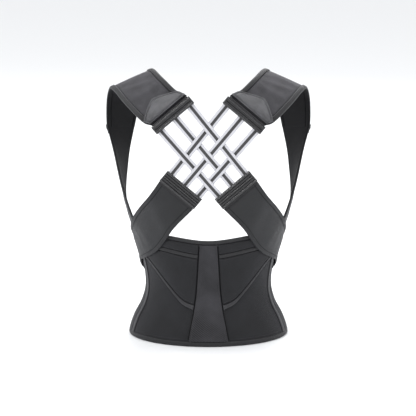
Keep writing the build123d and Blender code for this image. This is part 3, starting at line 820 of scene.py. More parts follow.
def sew(name, body, slot, gather, finishes, rests_on=(), right=False, extra=False):
    """Makes one piece in place of the design's part of that name, or as an extra."""
    piece = Piece()
    gather(piece)
    obj = piece.make(name + "_sewn", finishes, right=right)
    return settle(obj, body, slot, None if extra else name, rests_on, piece.cut)


def both_sides(name, body, slot, gather, finishes, rests_on=(), extra=False):
    """Sews a piece and its right-hand twin. SIDE in a name stands for left or right."""
    made = []
    for side in SIDES:
        own_body = f"{body}_{side}" if body in ("shoulder", "flap", "pull") else body
        below = [part.replace("SIDE", side) for part in rests_on]
        made.append(
            sew(f"{name}_{side}", own_body, slot, gather, finishes, below, side == "right", extra)
        )
    return made


def flipped(point):
    """The mirror twin of a point."""
    return (-point[0], point[1], point[2])


def bend(objects, body, held_at, free_at):
    """Bakes the placement of a piece and its twin into their meshes. The body is not used."""
    for obj, side in zip(objects, SIDES):
        ends = [flipped(at) if side == "right" else at for at in (held_at, free_at)]
        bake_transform(obj)


print("trim lies", round(TRIM_AT / MM, 2), "mm off the body")

# %% [markdown]
# ## Lining and stretch shell
# The lining is a brushed knit, one piece across the whole back. The shell is cut in
# four so that it can flare at the hip. Both show faint waves where the cloth is eased
# round the body. A cloth simulation would hide the seams' exact lines, so the waves
# are raised straight on the grid.

# %% Sew the lining and the shell
WAVE = 0.22 * MM
FAINT_WAVE = 0.12 * MM


def lining(piece):
    """The inner cloth of the back."""
    place = wrap(-SIDE_END, SIDE_END, FIELD_LOW, field_high, 0.0)
    sheet(piece, place, LINING_THICK, cell=4 * MM)
    for v in (0.02, 0.98):
        seam(piece, place, level_path(v, 0.01, 0.99, 60), LAYER_GAP * 0.2, 4 * MM)


sew("back_lining", "root", "lining_cloth", lining, [LINING, DARK_THREAD_AND_GROOVE_SHADE], EDGES)


def back_shell(piece):
    """Half of the shell, from the side seam to the spine."""
    place = wrap(-SIDE_SEAM, -0.2, FIELD_LOW, field_high, SHELL_AT)

    def folds(x, y, u, v):
        eased = soft_waves(x, y * 0.5, 0.05, 11) * WAVE
        return eased - 0.5 * WAVE * np.exp(-((v - 0.28) / 0.1) ** 2)

    sheet(piece, place, SHELL_THICK, relief=folds)
    seam(piece, place, upright_path(0.03), SHELL_THICK + 0.05 * MM)
    seam(piece, place, level_path(0.02, 0.02, 0.85), SHELL_THICK + 0.05 * MM)


def side_shell(piece):
    """The shell from the side seam to the gusset."""
    place = wrap(-SIDE_END, -SIDE_SEAM - 0.3, FIELD_LOW, field_high, SHELL_AT)
    sheet(piece, place, SHELL_THICK, relief=lambda x, y, u, v: soft_waves(x, y, 0.04, 5) * WAVE)
    seam(piece, place, upright_path(0.06), SHELL_THICK + 0.1 * MM)


for name, gather in (("back_panel", back_shell), ("side_panel", side_shell)):
    both_sides(name, "root", "panel_cloth", gather, [PANEL_CLOTH, THREAD], EDGES)
print("lining and shell sewn")

# %% [markdown]
# ### The side seam's casing
# A narrow shiny tape runs up the side seam and holds a thin bone. It catches the light
# where the hip flares. It is a separate strip with a slight crown and a row of stitches
# along each edge.

# %% Tape the side seam
CASING_WIDTH = 9.5 * MM
CASING_THICK = 0.9 * MM
CASING_CROWN = 0.5 * MM


def casing(piece):
    """The tape over the side seam."""
    turn = degrees(CASING_WIDTH / WAIST_HALF_WIDTH)
    place = wrap(
        -SIDE_SEAM - turn, -SIDE_SEAM - 0.4, FIELD_LOW, lambda a: field_high(a) - 0.02,
        SHELL_AT + SHELL_THICK + 0.25 * MM,
    )
    sheet(
        piece, place, CASING_THICK, cell=1.6 * MM,
        relief=lambda x, y, u, v: CASING_CROWN * (1 - (2 * u - 1) ** 2),
    )
    for u in (0.14, 0.86):
        seam(piece, place, upright_path(u), CASING_THICK + 0.2 * MM, pitch=2.8 * MM)


both_sides("side_casing", "root", "edge_tape", casing, [BRIGHT_TAPE, THREAD], extra=True)

# %% [markdown]
# ## The centre strip
# A ribbed strip covers the spine, narrow at the top and wide at the hem, so it pulls
# the eye to the waist. Its edges are closed with a thin dark piping, and the cloth has
# a fine slanting rib that a node group draws in its relief.

# %% Sew the centre strip
PIPING_RADIUS = 0.8 * MM


def strip_edge(height):
    """Half angle of the centre strip."""
    share = height / (PANEL_TOP_CENTRE - TOP_BINDING)
    return STRIP_HEM_ANGLE + (STRIP_TOP_ANGLE - STRIP_HEM_ANGLE) * share


def centre_strip(piece):
    """The strip with its two piped edges."""

    def place(u, v, out):
        height = FIELD_LOW + (field_high(0.0) - FIELD_LOW) * v
        return skin((2 * u - 1) * strip_edge(height), height, TRIM_AT + out)

    sheet(piece, place, TRIM_THICK, cell=2.2 * MM)
    for u in (0.012, 0.988):
        piping(piece, place, upright_path(u, 0.004, 0.996), TRIM_THICK * 0.8, PIPING_RADIUS, 2)
    for u in (0.075, 0.925):
        seam(piece, place, upright_path(u), TRIM_THICK + 0.05 * MM)


sew(
    "center_strip", "root", "ribbed_cloth", centre_strip, [RIB_CLOTH, THREAD, DARK_THREAD_AND_GROOVE_SHADE],
    ["back_panel_left", "back_panel_right"],
)
print("centre strip sewn")

# %% [markdown]
# ## Wings and yoke
# Two curved wings brace the small of the back, and a yoke closes them above. Each seam
# is covered with a tape that a wide zigzag holds down, which is how stretch cloth is
# sewn so that the seam can still stretch.


# %% Sew the wings and the yoke
def wing_low(angle):
    """Lower edge of a wing."""
    return smooth(WING_EDGE, np.abs(angle))[..., 0]


def yoke_line(angle):
    """The slanting seam across the top of a wing."""
    return smooth(YOKE_EDGE, np.abs(angle))[..., 0]


def overlay(low, high):
    """place(u, v, out) of a left-hand overlay, from the side in to the strip."""
    outer = -(SIDE_SEAM - 1.0)

    def place(u, v, out):
        low_in, high_in = float(low(-STRIP_MEETS)), float(high(-STRIP_MEETS))
        height = low_in + (high_in - low_in) * v
        inner = -(strip_edge(height) + degrees(SIDE_GAP / WAIST_HALF_WIDTH))
        angle = outer + (inner - outer) * u
        base, top = low(angle), high(angle)
        return skin(angle, base + (top - base) * v, TRIM_AT + out)

    return place


def tape_high(angle):
    """Upper edge of the wing tape."""
    return wing_low(angle) + WING_TAPE


def wing(piece):
    """The wing's cloth, a little padded, with folds running out from the strip."""
    place = overlay(
        lambda a: tape_high(a) + SIDE_GAP, lambda a: yoke_line(a) - YOKE_TAPE / 2 - SIDE_GAP
    )

    def swell(x, y, u, v):
        crown = 0.8 * MM * (1 - (2 * u - 1) ** 4) * (1 - (2 * v - 1) ** 4)
        return crown + soft_waves(x * 0.6 + y * 0.4, y, 0.035, 23) * FAINT_WAVE

    sheet(piece, place, TRIM_THICK, relief=swell)
    for v in (0.035, 0.965):
        seam(piece, place, level_path(v, 0.02, 0.98), TRIM_THICK + 0.1 * MM)


def wing_tape(piece):
    """The tape along the wing's lower edge."""
    place = overlay(wing_low, tape_high)
    sheet(piece, place, TRIM_THICK, cell=1.8 * MM, relief=crowned(0.35 * MM))
    zigzag(piece, place, level_path(0.5, 0.005, 0.995, 40), TRIM_THICK + 0.42 * MM, 2.5 * MM)
    # Near-black cords along both edges of the tape paint its shadow lines.
    for v in (0.06, 0.94):
        piping(piece, place, level_path(v, 0.004, 0.996, 40), TRIM_THICK * 0.9, 0.45 * MM, 2)


def yoke_tape(piece):
    """The tape over the yoke seam."""
    place = overlay(
        lambda a: yoke_line(a) - YOKE_TAPE / 2, lambda a: yoke_line(a) + YOKE_TAPE / 2
    )
    sheet(piece, place, TRIM_THICK, cell=1.8 * MM, relief=crowned(0.3 * MM))
    zigzag(piece, place, level_path(0.5, 0.005, 0.995, 40), TRIM_THICK + 0.36 * MM, 2.0 * MM)


def yoke(piece):
    """The narrow panel above the wing."""
    place = overlay(lambda a: yoke_line(a) + YOKE_TAPE / 2 + SIDE_GAP, field_high)
    sheet(piece, place, TRIM_THICK, relief=crowned(0.5 * MM))
    seam(piece, place, level_path(0.12, 0.02, 0.98), TRIM_THICK + 0.2 * MM)


for name, slot, gather, finishes, rests_on in (
    ("wing", "panel_cloth", wing, [PANEL_CLOTH, THREAD], ["back_panel_SIDE"]),
    ("wing_tape", "edge_tape", wing_tape, [BRIGHT_TAPE, THREAD, DARK_THREAD_AND_GROOVE_SHADE], []),
    ("yoke_tape", "edge_tape", yoke_tape, [TAPE, THREAD], []),
    ("yoke", "panel_cloth", yoke, [PANEL_CLOTH, THREAD], ["back_panel_SIDE"]),
):
    both_sides(name, "root", slot, gather, finishes, rests_on)
print("wings and yoke sewn")

# %% [markdown]
# ## Bindings
# A folded tape closes the upper edge and the hem. It is thickest in the middle, the
# thread pulls it in along both edges, and it puckers a little between the stitches.

# %% Bind the edges
PUCKER = 0.12 * MM
PUCKER_LENGTH = 6.4 * MM


def bound_edge(place, rows, thick):
    """A gatherer for a folded tape with rows of stitches."""

    def gather(piece):
        def crown(x, y, u, v):
            round_top = 0.55 * MM * (1 - (2 * v - 1) ** 4)
            return round_top + PUCKER * np.sin(2 * pi * x / PUCKER_LENGTH) - 0.5 * MM

        sheet(piece, place, thick, cell=2.0 * MM, roll=1.6 * MM, relief=crown)
        for v in rows:
            seam(piece, place, level_path(v, 0.004, 0.996, 90), thick + 0.02 * MM, 3.2 * MM)

    return gather


hem_place = wrap(-SIDE_END, SIDE_END, 0.0, HEM_BINDING, 0.0)
top_place = wrap(-SIDE_END, SIDE_END, lambda a: panel_top(a) - TOP_BINDING, panel_top, 0.0)
for name, place, rows in (
    ("hem_binding", hem_place, (0.72, 0.3)), ("top_binding", top_place, (0.25,)),
):
    gather = bound_edge(place, rows, BINDING_THICK)
    sew(name, "root", "edge_tape", gather, [TAPE, THREAD])
print("bindings sewn")

# %% [markdown]
# ## The woven lattice
# Three elastic bands from each shoulder cross three from the other and pass over and
# under them in turn. Each band is one strip whose height above the lattice follows a
# smooth wave, up at one crossing and down at the next, and whose ends turn round the
# rods hidden in the housings.

# %% The lattice's plane
CROSS = np.array([0.0, -0.0973, 0.3402])
LEAN, BAND_ANGLE = radians(5.3), radians(49.9)
UPPER_RUN, LOWER_RUN = 0.0886, 0.0636
BAND_WIDTH, BAND_THICK = 14.5 * MM, 1.3 * MM
PITCH_UPPER, PITCH_LOWER = 33.5 * MM, 30.0 * MM
WEAVE_LIFT = 1.15 * MM
HOUSING_THICK, HOUSING_WALL, CAVITY_DEPTH = 10.0 * MM, 1.3 * MM, 11.0 * MM
UPPER_DEPTH, LOWER_DEPTH = 15.5 * MM, 23.0 * MM
ROD_RADIUS, LOOP_GAP = 1.9 * MM, 0.25 * MM
ALONG = np.array([-cos(BAND_ANGLE), sin(BAND_ANGLE)])
LATTICE_UP = np.array([0.0, sin(LEAN), cos(LEAN)])
LATTICE_OUT = np.array([0.0, -cos(LEAN), sin(LEAN)])
SIDE_DIR = np.array([ALONG[1], 0.0, 0.0]) - LATTICE_UP * ALONG[0]


def on_lattice(run, side, out=0.0):
    """Points of the plane of the bands. run goes up and left, side up and right."""
    run, side, out = np.broadcast_arrays(*(np.asarray(a, float) for a in (run, side, out)))
    x = run * ALONG[0] + side * ALONG[1]
    rise = run * ALONG[1] - side * ALONG[0]
    flat = CROSS + np.stack([x, np.zeros_like(x), np.zeros_like(x)], -1)
    return flat + rise[..., None] * LATTICE_UP + out[..., None] * LATTICE_OUT


def band_pitch(run):
    """Distance between neighbouring bands of one set."""
    share = (run + LOWER_RUN) / (UPPER_RUN + LOWER_RUN)
    return PITCH_LOWER + (PITCH_UPPER - PITCH_LOWER) * share


def crossing_run(own, other):
    """Where band own of one set meets band other of the other set."""
    run = 0.0
    for _ in range(12):
        side = own * band_pitch(run)
        x = run * ALONG[0] + side * ALONG[1]
        rise = run * ALONG[1] - side * ALONG[0]
        twin_run, twin_side = -x * ALONG[0] + rise * ALONG[1], -x * ALONG[1] - rise * ALONG[0]
        run += (twin_side - other * band_pitch(twin_run)) / (2 * ALONG[0] * ALONG[1])
    return run


def band_path(own, weave):
    """Centre line of one band: run, height and the way its outer face looks."""
    inside = CAVITY_DEPTH / 2 + HOUSING_WALL
    top, bottom = UPPER_RUN + inside, -(LOWER_RUN + inside)
    turn = ROD_RADIUS + LOOP_GAP + BAND_THICK / 2
    waves = sorted((crossing_run(own, other), side) for other, side in weave.items())
    heights = [(bottom + 2.4 * turn, 0.0), (-LOWER_RUN, 0.0)]
    heights += [(run, side * WEAVE_LIFT) for run, side in waves]
    heights += [(UPPER_RUN, 0.0), (top - 2.4 * turn, 0.0)]
    runs = np.linspace(heights[0][0], heights[-1][0], 110)
    line = [np.stack([runs, smooth(heights, runs)[:, 0]], -1)]
    bend = np.radians(np.linspace(115, -150, 20))
    ring = np.stack([np.cos(bend), np.sin(bend)], -1) * turn
    line.append(ring + np.array([top, 0.0]))
    line.insert(0, (ring * np.array([-1, 1]) + np.array([bottom, 0.0]))[::-1])
    path = np.concatenate(line)
    ahead = unit(np.gradient(path, axis=0))
    return path, np.stack([-ahead[:, 1], ahead[:, 0]], -1)


def band(own, weave):
    """place(u, v, out) of one band."""
    path, normal = band_path(own, weave)
    run_to = np.concatenate([[0], np.linalg.norm(np.diff(path, axis=0), axis=1).cumsum()])
    run_to /= run_to[-1]

    def place(u, v, out):
        run = np.interp(u, run_to, path[:, 0])
        lift = np.interp(u, run_to, path[:, 1])
        lean_run = np.interp(u, run_to, normal[:, 0])
        lean_out = np.interp(u, run_to, normal[:, 1])
        away = out - BAND_THICK / 2
        side = own * band_pitch(run) + (v - 0.5) * BAND_WIDTH
        return on_lattice(run + lean_run * away, side, lift + lean_out * away)

    return place


# %% Weave the bands
BAND_NAMES = {1: "inner", 0: "middle", -1: "outer"}
BAND_START = on_lattice(-LOWER_RUN, 0)
BAND_FINISH = on_lattice(UPPER_RUN, 0)


def cross_ribs(x, y, u, v):
    """Fine ribs across the elastic, flatter at the margins."""
    return 0.07 * MM * np.sin(2 * pi * x / (1.7 * MM)) * (1 - (2 * v - 1) ** 6)


for own, word in BAND_NAMES.items():
    pair = []
    for side, first in zip(SIDES, (1, -1)):
        over = {other: first if (own + other) % 2 == 0 else -first for other in BAND_NAMES}
        strip = Piece()
        sheet(strip, band(own, over), BAND_THICK, 0.85 * MM, cross_ribs, 0.4 * MM)
        node = f"band_{side}_{word}"
        made = strip.make(node + "_woven", [BAND_ELASTIC], right=side == "right")
        held_by = [f"upper_housing_{side}", f"lower_housing_{side}"]
        pair.append(settle(made, None, "band_webbing", node, held_by, strip.cut))
    bend(pair, "shoulder", BAND_START, BAND_FINISH)
print("six bands woven")

# %% [markdown]
# ## Housings
# Each set of bands ends in a flat sleeve. Its ribbed cover is already right in the
# design, so it keeps its mesh and gets a glossy woven cloth, and stitches and a welt
# are sewn on where the sleeve closes. The rods and the flexible strips inside keep
# their moulded shapes.

# %% Dress the housings and what they hide
for node_name, node_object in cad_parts.items():
    if "housing" in node_name:
        kept = COVER
    elif "_bar_" in node_name:
        kept = ROD
    elif node_name == "back_stays":
        kept = STAY
    else:
        continue
    node_object.data.materials.clear()
    node_object.data.materials.append(kept)
print("carried-over parts dressed")

# %% [markdown]
# ### Stitches and a welt on the housings
# A sleeve of cloth is closed with a row of thread along each long side, and a welt
# covers the joint with the strap. These sit on the sleeve's outer face.


# %% Sew the housings
UPPER_LENGTH = 2 * PITCH_UPPER + BAND_WIDTH + 2 * HOUSING_WALL + 1.2 * MM
LOWER_LENGTH = 2 * PITCH_LOWER + BAND_WIDTH + 2 * HOUSING_WALL + 1.2 * MM
PAD_COLLAR, STRAP_COLLAR, COLLAR_LAP, COLLAR_DEPTH = 80 * MM, 75 * MM, 1.5 * MM, 5.0 * MM
TRIM_FINISHES = [THREAD, DARK_THREAD_AND_GROOVE_SHADE, TAPE]


def housing_face(mouth_run, back_sign, length, depth):
    """place(u, v, out) of the outer face of a housing, v from its mouth to its back."""

    def place(u, v, out):
        side = (u - 0.5) * length
        run = mouth_run + back_sign * depth * v
        return on_lattice(run, side, HOUSING_THICK / 2 + out)

    return place


def joint_cover(mouth_run, back_sign, length, depth, inner):
    """place(u, v, out) of the collar that joins a housing to its strap."""

    def place(u, v, out):
        run = mouth_run + back_sign * (depth - COLLAR_LAP + COLLAR_DEPTH * v)
        return on_lattice(run, (u - 0.5) * length, inner + out)

    return place


def upper_trim(piece):
    """Thread and welts on the upper housing, and its collar."""
    collar = joint_cover(UPPER_RUN, 1, PAD_COLLAR, UPPER_DEPTH, -3.6 * MM)
    sheet(piece, collar, 7.8 * MM, cell=2 * MM, roll=1.6 * MM, finish=2)
    place = housing_face(UPPER_RUN, 1, UPPER_LENGTH, UPPER_DEPTH)
    for v in (0.38, 0.62):
        seam(piece, place, level_path(v, 0.02, 0.98), 0.2 * MM, pitch=2.8 * MM, finish=0)
    piping(piece, place, level_path(0.5, 0.015, 0.985), 0.3 * MM, 0.55 * MM, 1)


both_sides("upper_trim", "shoulder", "housing_cover", upper_trim, TRIM_FINISHES, extra=True)


def mirrored_points(place):
    """The same sheet on the other side of the body."""
    return lambda u, v, out: place(u, v, out) * np.array([-1.0, 1.0, 1.0])


def lower_trim(piece):
    """The left lower housing belongs to the bands from the right shoulder."""
    collar = mirrored_points(
        joint_cover(-LOWER_RUN, -1, STRAP_COLLAR, LOWER_DEPTH, -2.4 * MM)
    )
    sheet(piece, collar, 5.4 * MM, cell=2 * MM, roll=1.4 * MM, finish=2)
    place = mirrored_points(housing_face(-LOWER_RUN, -1, LOWER_LENGTH, LOWER_DEPTH))
    for v in (0.31, 0.68):
        seam(piece, place, level_path(v, 0.02, 0.98), 0.2 * MM, pitch=2.8 * MM, finish=0)
    for v in (0.22, 0.4, 0.59, 0.77):
        piping(piece, place, level_path(v, 0.015, 0.985), 0.1 * MM, 0.4 * MM, 1)


both_sides("lower_trim", "root", "housing_cover", lower_trim, TRIM_FINISHES, extra=True)
print("housings sewn")

# %% [markdown]
# ## The diagonal straps
# Each strap leaves its housing flat, then wraps the body down to the front. Its line is
# a row of stations, an angle and a height, and it blends from the lattice's plane to
# the body's. The cloth is soft, so it folds a little where it turns over the flank.

# %% The strap's line
START_HALF, BLADE_HALF, SIDE_HALF, PULL_HALF = 38.5 * MM, 33.5 * MM, 25.5 * MM, 24.5 * MM
STRAP_END, STATION_RUN, FLAT_STATIONS, PROBE = 8.0, 0.044, 1.7, 0.05
LEAVE = -(LOWER_RUN + LOWER_DEPTH + SIDE_GAP)
start_point = on_lattice(LEAVE, 0)
start_width = smooth(TORSO, start_point[2])[0]
START_ANGLE = degrees(asin(-abs(start_point[0]) / (start_width + STRAP_AT)))
STRAP_LINE = [
    (0.0, START_ANGLE, start_point[2], START_HALF),
    (1.0, START_ANGLE - 13.5, start_point[2] - 0.034, START_HALF - 4.5 * MM),
    (2.0, -54.0, 0.197, BLADE_HALF),
    (3.0, -72.0, 0.176, (BLADE_HALF + SIDE_HALF) / 2),
    (4.0, -90.0, 0.160, SIDE_HALF),
    (5.0, -109.0, 0.136, PULL_HALF),
    (6.0, -125.0, 0.116, PULL_HALF),
    (7.0, -142.0, 0.095, PULL_HALF),
    (8.0, -156.0, 0.080, PULL_HALF),
]


def round_body(angle, height, distance):
    """The angle reached after going a distance round the body."""
    steps = 6
    size = smooth(MIRROR_BELOW + TORSO, height)
    for _ in range(steps):
        s, c = np.sin(np.radians(angle)), np.cos(np.radians(angle))
        reach = np.hypot(size[..., 0] * c, size[..., 1] * s)
        angle = angle + np.degrees(distance / steps / reach)
    return angle


def on_strap(s, t, away):
    """Points of the left strap. t goes from its lower edge to its upper."""
    s, t, away = np.broadcast_arrays(*(np.asarray(a, float) for a in (s, t, away)))
    here = smooth(STRAP_LINE, s)
    ahead = smooth(STRAP_LINE, np.minimum(s + PROBE, STRAP_END))
    behind = smooth(STRAP_LINE, np.maximum(s - PROBE, 0.0))
    angle, height, half = here[..., 0], here[..., 1], here[..., 2]
    size = smooth(MIRROR_BELOW + TORSO, height)
    turned = np.radians(angle)
    reach = np.hypot(size[..., 0] * np.cos(turned), size[..., 1] * np.sin(turned))
    run = np.radians(ahead[..., 0] - behind[..., 0]) * reach
    rise = ahead[..., 1] - behind[..., 1]
    length = np.hypot(run, rise)
    across = t * half
    sideways, upward = across * rise / length, -across * run / length
    at = round_body(angle, height + upward / 2, sideways)
    on_body = skin(at, height + upward, away)
    flat = (1 - ease(s / FLAT_STATIONS))[..., None]
    level_run = LEAVE - s * STATION_RUN
    lifted = away - STRAP_AT - STRAP_THICK / 2
    straight = on_lattice(level_run, 0, lifted) + SIDE_DIR * across[..., None]
    straight = straight * np.array([-1.0, 1.0, 1.0])
    return on_body * (1 - flat) + straight * flat


def station_at(angle):
    """The strap station whose centre line is at an angle from the spine."""
    stops = np.linspace(0, STRAP_END, 4001)
    return float(np.interp(angle, -smooth(STRAP_LINE, stops)[:, 0], stops))


def strap_part(start, end, half_share=1.0, lift=0.0):
    """place(u, v, out) of a stretch of the strap."""

    def place(u, v, out):
        at = start + (end - start) * u
        return on_strap(at, (2 * v - 1) * half_share, STRAP_AT + lift + out)

    return place


LOWER_END, SIDE_STOP = station_at(86.0), station_at(105.0)
PULL_START, PULL_STOP, TAB_STOP = station_at(109.0), station_at(140.0), station_at(151.0)
STRAP_JOINT = 0.04
print("strap parts end at stations", round(LOWER_END, 2), round(SIDE_STOP, 2), round(TAB_STOP, 2))

# %% [markdown]
# ### Cloth with bound edges
# Each edge of the strap is turned in and held by two rows of thread, which leaves a
# raised border. A near-black cord in the groove between the border and the middle paints the
# groove's shade.

# %% Sew the straps
BORDER = 7.5 * MM


def strap_relief(seed, half, fold=0.5 * MM):
    """Relief of a strap: a border along each edge, and soft folds between."""

    def relief(x, y, u, v):
        inner = half * 2 * (0.5 - np.abs(v - 0.5))
        border = 0.35 * MM * (1 - ease((inner - BORDER) / (1.2 * MM)))
        groove = -0.3 * MM * np.exp(-(((inner - BORDER - 0.7 * MM) / (0.7 * MM)) ** 2))
        middle = ease((inner - BORDER - 2 * MM) / (14 * MM))
        folds = fold * middle * soft_waves(x * 1.3 + y * 0.3, y * 0.35, 0.045, seed)
        return border + groove + folds

    return relief


def sewn_strap(start, end, half, seed, fold=0.5 * MM):
    """A gatherer for a stretch of strap with stitched borders."""

    def gather(piece):
        place = strap_part(start, end)
        sheet(piece, place, STRAP_THICK, cell=2.2 * MM, relief=strap_relief(seed, half, fold))
        inset = BORDER / (2 * half)
        for v in (inset * 0.8, 1 - inset * 0.8, inset * 0.2, 1 - inset * 0.2):
            seam(piece, place, level_path(v, 0.01, 0.99, 40), STRAP_THICK + 0.4 * MM, 3.0 * MM)
        # Near-black cords in the grooves: painted shade.
        for v in (inset, 1 - inset):
            groove = level_path(v, 0.004, 0.996, 40)
            piping(piece, place, groove, STRAP_THICK - 0.1 * MM, 0.55 * MM, 2)

    return gather


FLANK = (-0.1385, 0.004, 0.0)
GUSSET_FRONT = (-0.128, 0.032, 0.0)


STRAP_FINISHES = [STRAP_CLOTH, THREAD, DARK_THREAD_AND_GROOVE_SHADE]
both_sides(
    "lower_strap", "root", "strap_cloth",
    sewn_strap(0.0, LOWER_END, (START_HALF + BLADE_HALF) / 2, 31, fold=0.7 * MM),
    STRAP_FINISHES, ["lower_housing_SIDE", "side_panel_SIDE"],
)
side_straps = both_sides(
    "side_strap", None, "strap_cloth",
    sewn_strap(LOWER_END - 0.02, SIDE_STOP + 0.1, SIDE_HALF, 37),
    STRAP_FINISHES, ["lower_strap_SIDE", "gusset_SIDE"],
)
bend(side_straps, "flap", FLANK, GUSSET_FRONT)
both_sides(
    "pull_strap", "pull", "strap_cloth", sewn_strap(PULL_START, PULL_STOP, PULL_HALF, 41),
    STRAP_FINISHES, ["front_flap_SIDE"],
)


def tab(piece):
    """The pull tab, with a crossed box of stitches."""
    place = strap_part(PULL_STOP + STRAP_JOINT, TAB_STOP, 0.8, -0.2 * MM)
    thick = STRAP_THICK + 0.6 * MM

    def pressed(x, y, u, v):
        edge = np.minimum(np.minimum(u, 1 - u), np.minimum(v, 1 - v))
        return 0.4 * MM * (1 - ease(edge / 0.12)) - 0.2 * MM

    sheet(piece, place, thick, cell=1.4 * MM, relief=pressed)
    box = [(0.15, 0.12), (0.85, 0.12), (0.85, 0.88), (0.15, 0.88), (0.15, 0.12)]
    for path in (box, [box[0], box[2]], [box[1], box[3]]):
        seam(piece, place, path, thick - 0.1 * MM, pitch=2.6 * MM, width=0.6 * MM)


both_sides("pull_tab", "pull", "strap_cloth", tab, [STRAP_CLOTH, THREAD])
print("straps sewn")

# %% [markdown]
# ## Hook and loop
# The straps and the flaps close with hook tape on a loop panel. Hook tape is a stiff
# backing with rows of tiny bent stems, and a grid of small cones with a lean gives its
# bite without thousands of real hooks.

# %% Hook tape
HOOK_THICK = 0.8 * MM


def hooks(piece, place, out, pitch, height, finish=1):
    """Rows of leaning stems on the inner side of a tape."""
    wide, tall = span_of(place, 0), span_of(place, 1)
    u = np.linspace(0.05, 0.95, max(3, round(wide / pitch)))
    v = np.linspace(0.05, 0.95, max(3, round(tall / pitch)))
    u, v = (a.ravel() for a in np.meshgrid(u, v, indexing="ij"))
    foot, tip = place(u, v, out), place(u + 0.25 * pitch / wide, v, out - height)
    normal = unit(place(u, v, out + MM) - foot)
    side = unit(np.cross(normal, tip - foot))
    thread(piece, foot, tip, side, 0.5 * MM, finish)


def pull_hook(piece):
    """The hook tape inside the pull strap."""
    start, end = PULL_STOP - 0.9, PULL_STOP - 0.1
    place = strap_part(start, end, 0.78, -HOOK_THICK - 0.25 * MM)
    sheet(piece, place, HOOK_THICK, cell=3 * MM, roll=0.3 * MM)
    hooks(piece, place, 0.1 * MM, 1.8 * MM, 0.6 * MM)


both_sides("pull_hook", "pull", "hook_tape", pull_hook, [HOOK_TAPE, HOOK_TAPE])
print("hook tape sewn")

# %% [markdown]
# ## The shoulder loop
# A padded loop leaves the upper housing, goes over the shoulder, down in front and back
# under the arm, where it turns into a thin strap. One row of stations gives its line
# and how wide it is, and everything on the shoulder is placed along that line.

# %% The loop's line
PAD_WIDTH, PAD_FRONT, PAD_THICK = 82 * MM, 71 * MM, 5.5 * MM
PAD_EDGE, PAD_EXTRA = 9.5 * MM, 0.8 * MM
UNDERARM_WIDTH, UNDERARM_TOP, UNDERARM_THICK = 51 * MM, 64 * MM, 3.4 * MM
UNDERARM_HEIGHT, SHOULDER_X, SHOULDER_TOP = 0.207, 0.133, 0.460
TUCKED = STRAP_AT - 1.6 * MM - UNDERARM_THICK
PAD_END, LOOP_END = 6.0, 10.0
ARM_ANGLE, UNDER_ANGLE, UNDER_DROP = -79.0, -70.5, 0.019


def flat_on_body(angle, height, direction):
    """A width direction laid flat on the body."""
    normal = unit(skin(angle, height, MM) - skin(angle, height, 0.0))
    return unit(direction - normal * (direction @ normal))


def loop_stations():
    """Centre, half width and edge drop of the left shoulder loop."""
    start = on_lattice(UPPER_RUN + UPPER_DEPTH + 2 * SIDE_GAP, 0, -PAD_THICK / 2)
    half, front = PAD_WIDTH / 2, PAD_FRONT / 2
    top, low, x = SHOULDER_TOP, UNDERARM_HEIGHT, SHOULDER_X
    arm = skin(ARM_ANGLE, low, TUCKED)
    under = skin(UNDER_ANGLE, low - UNDER_DROP, TUCKED)
    arm_across = flat_on_body(ARM_ANGLE, low, unit((-0.14, 0.80, -0.58)))
    under_across = flat_on_body(UNDER_ANGLE, low - UNDER_DROP, unit((-0.30, 0.77, -0.57)))
    rows = [
        (start, SIDE_DIR * half, 0.0),
        ((-x + 0.048, -0.077, top - 0.034), unit((0.74, 0.24, 0.63)) * half, 0.0005),
        ((-x + 0.021, -0.044, top - 0.013), unit((0.81, 0.19, 0.55)) * half, 0.0015),
        ((-x, 0.005, top), unit((0.85, 0.29, 0.43)) * half, 0.0025),
        ((-x - 0.009, 0.042, top - 0.012), unit((0.88, 0.42, 0.18)) * half * 0.96, 0.0025),
        ((-x - 0.019, 0.066, top - 0.044), unit((0.82, 0.56, 0.08)) * half * 0.9, 0.002),
        ((-x - 0.025, 0.072, top - 0.097), unit((0.64, 0.76, -0.10)) * front, 0.0015),
        ((-x - 0.024, 0.050, low + 0.103), unit((0.37, 0.83, -0.43)) * front * 0.9, 0.0015),
        (
            (-x - 0.018, 0.014, low + 0.048),
            unit((0.08, 0.84, -0.53)) * UNDERARM_WIDTH * 0.53, 0.002,
        ),
        (arm, arm_across * UNDERARM_WIDTH / 2, 0.0035),
        (under, under_across * UNDERARM_WIDTH / 2, 0.0035),
    ]
    return [(float(n), *centre, *half_w, drop) for n, (centre, half_w, drop) in enumerate(rows)]


LOOP = loop_stations()


def on_loop(s, t, out=0.0):
    """Points of the shoulder loop. t goes from the lateral edge to the medial one."""
    s, t, out = np.broadcast_arrays(*(np.asarray(a, float) for a in (s, t, out)))
    here = smooth(LOOP, s)
    ahead = smooth(LOOP, np.minimum(s + PROBE, LOOP_END))[..., :3]
    behind = smooth(LOOP, np.maximum(s - PROBE, 0.0))[..., :3]
    half = here[..., 3:6]
    normal = unit(np.cross(half, ahead - behind))
    rise = out - here[..., 6] * t * t
    return here[..., :3] + half * t[..., None] + normal * rise[..., None]


def ribbon(start, end, left, right):
    """place(u, v, out) of a sheet along the shoulder loop."""

    def place(u, v, out):
        return on_loop(start + (end - start) * u, left + (right - left) * v, out)

    return place


print("shoulder loop from", LOOP[0][1:4], "to", LOOP[-1][1:4])

# %% [markdown]
# ### Padding by cloth simulation
# The pad is foam in a cloth cover that is stitched all round. A cover cut a little
# smaller than the pad is blown up by gentle pressure, with its rim pinned where the
# border holds it, so it crowns the way a filled cover does. How far any point may move
# is capped, and the result is applied to the mesh.

# %% Swell a pad
PAD_PRESSURE = 3.5
PAD_FRAMES = 14
PAD_CAP = 2.6 * MM


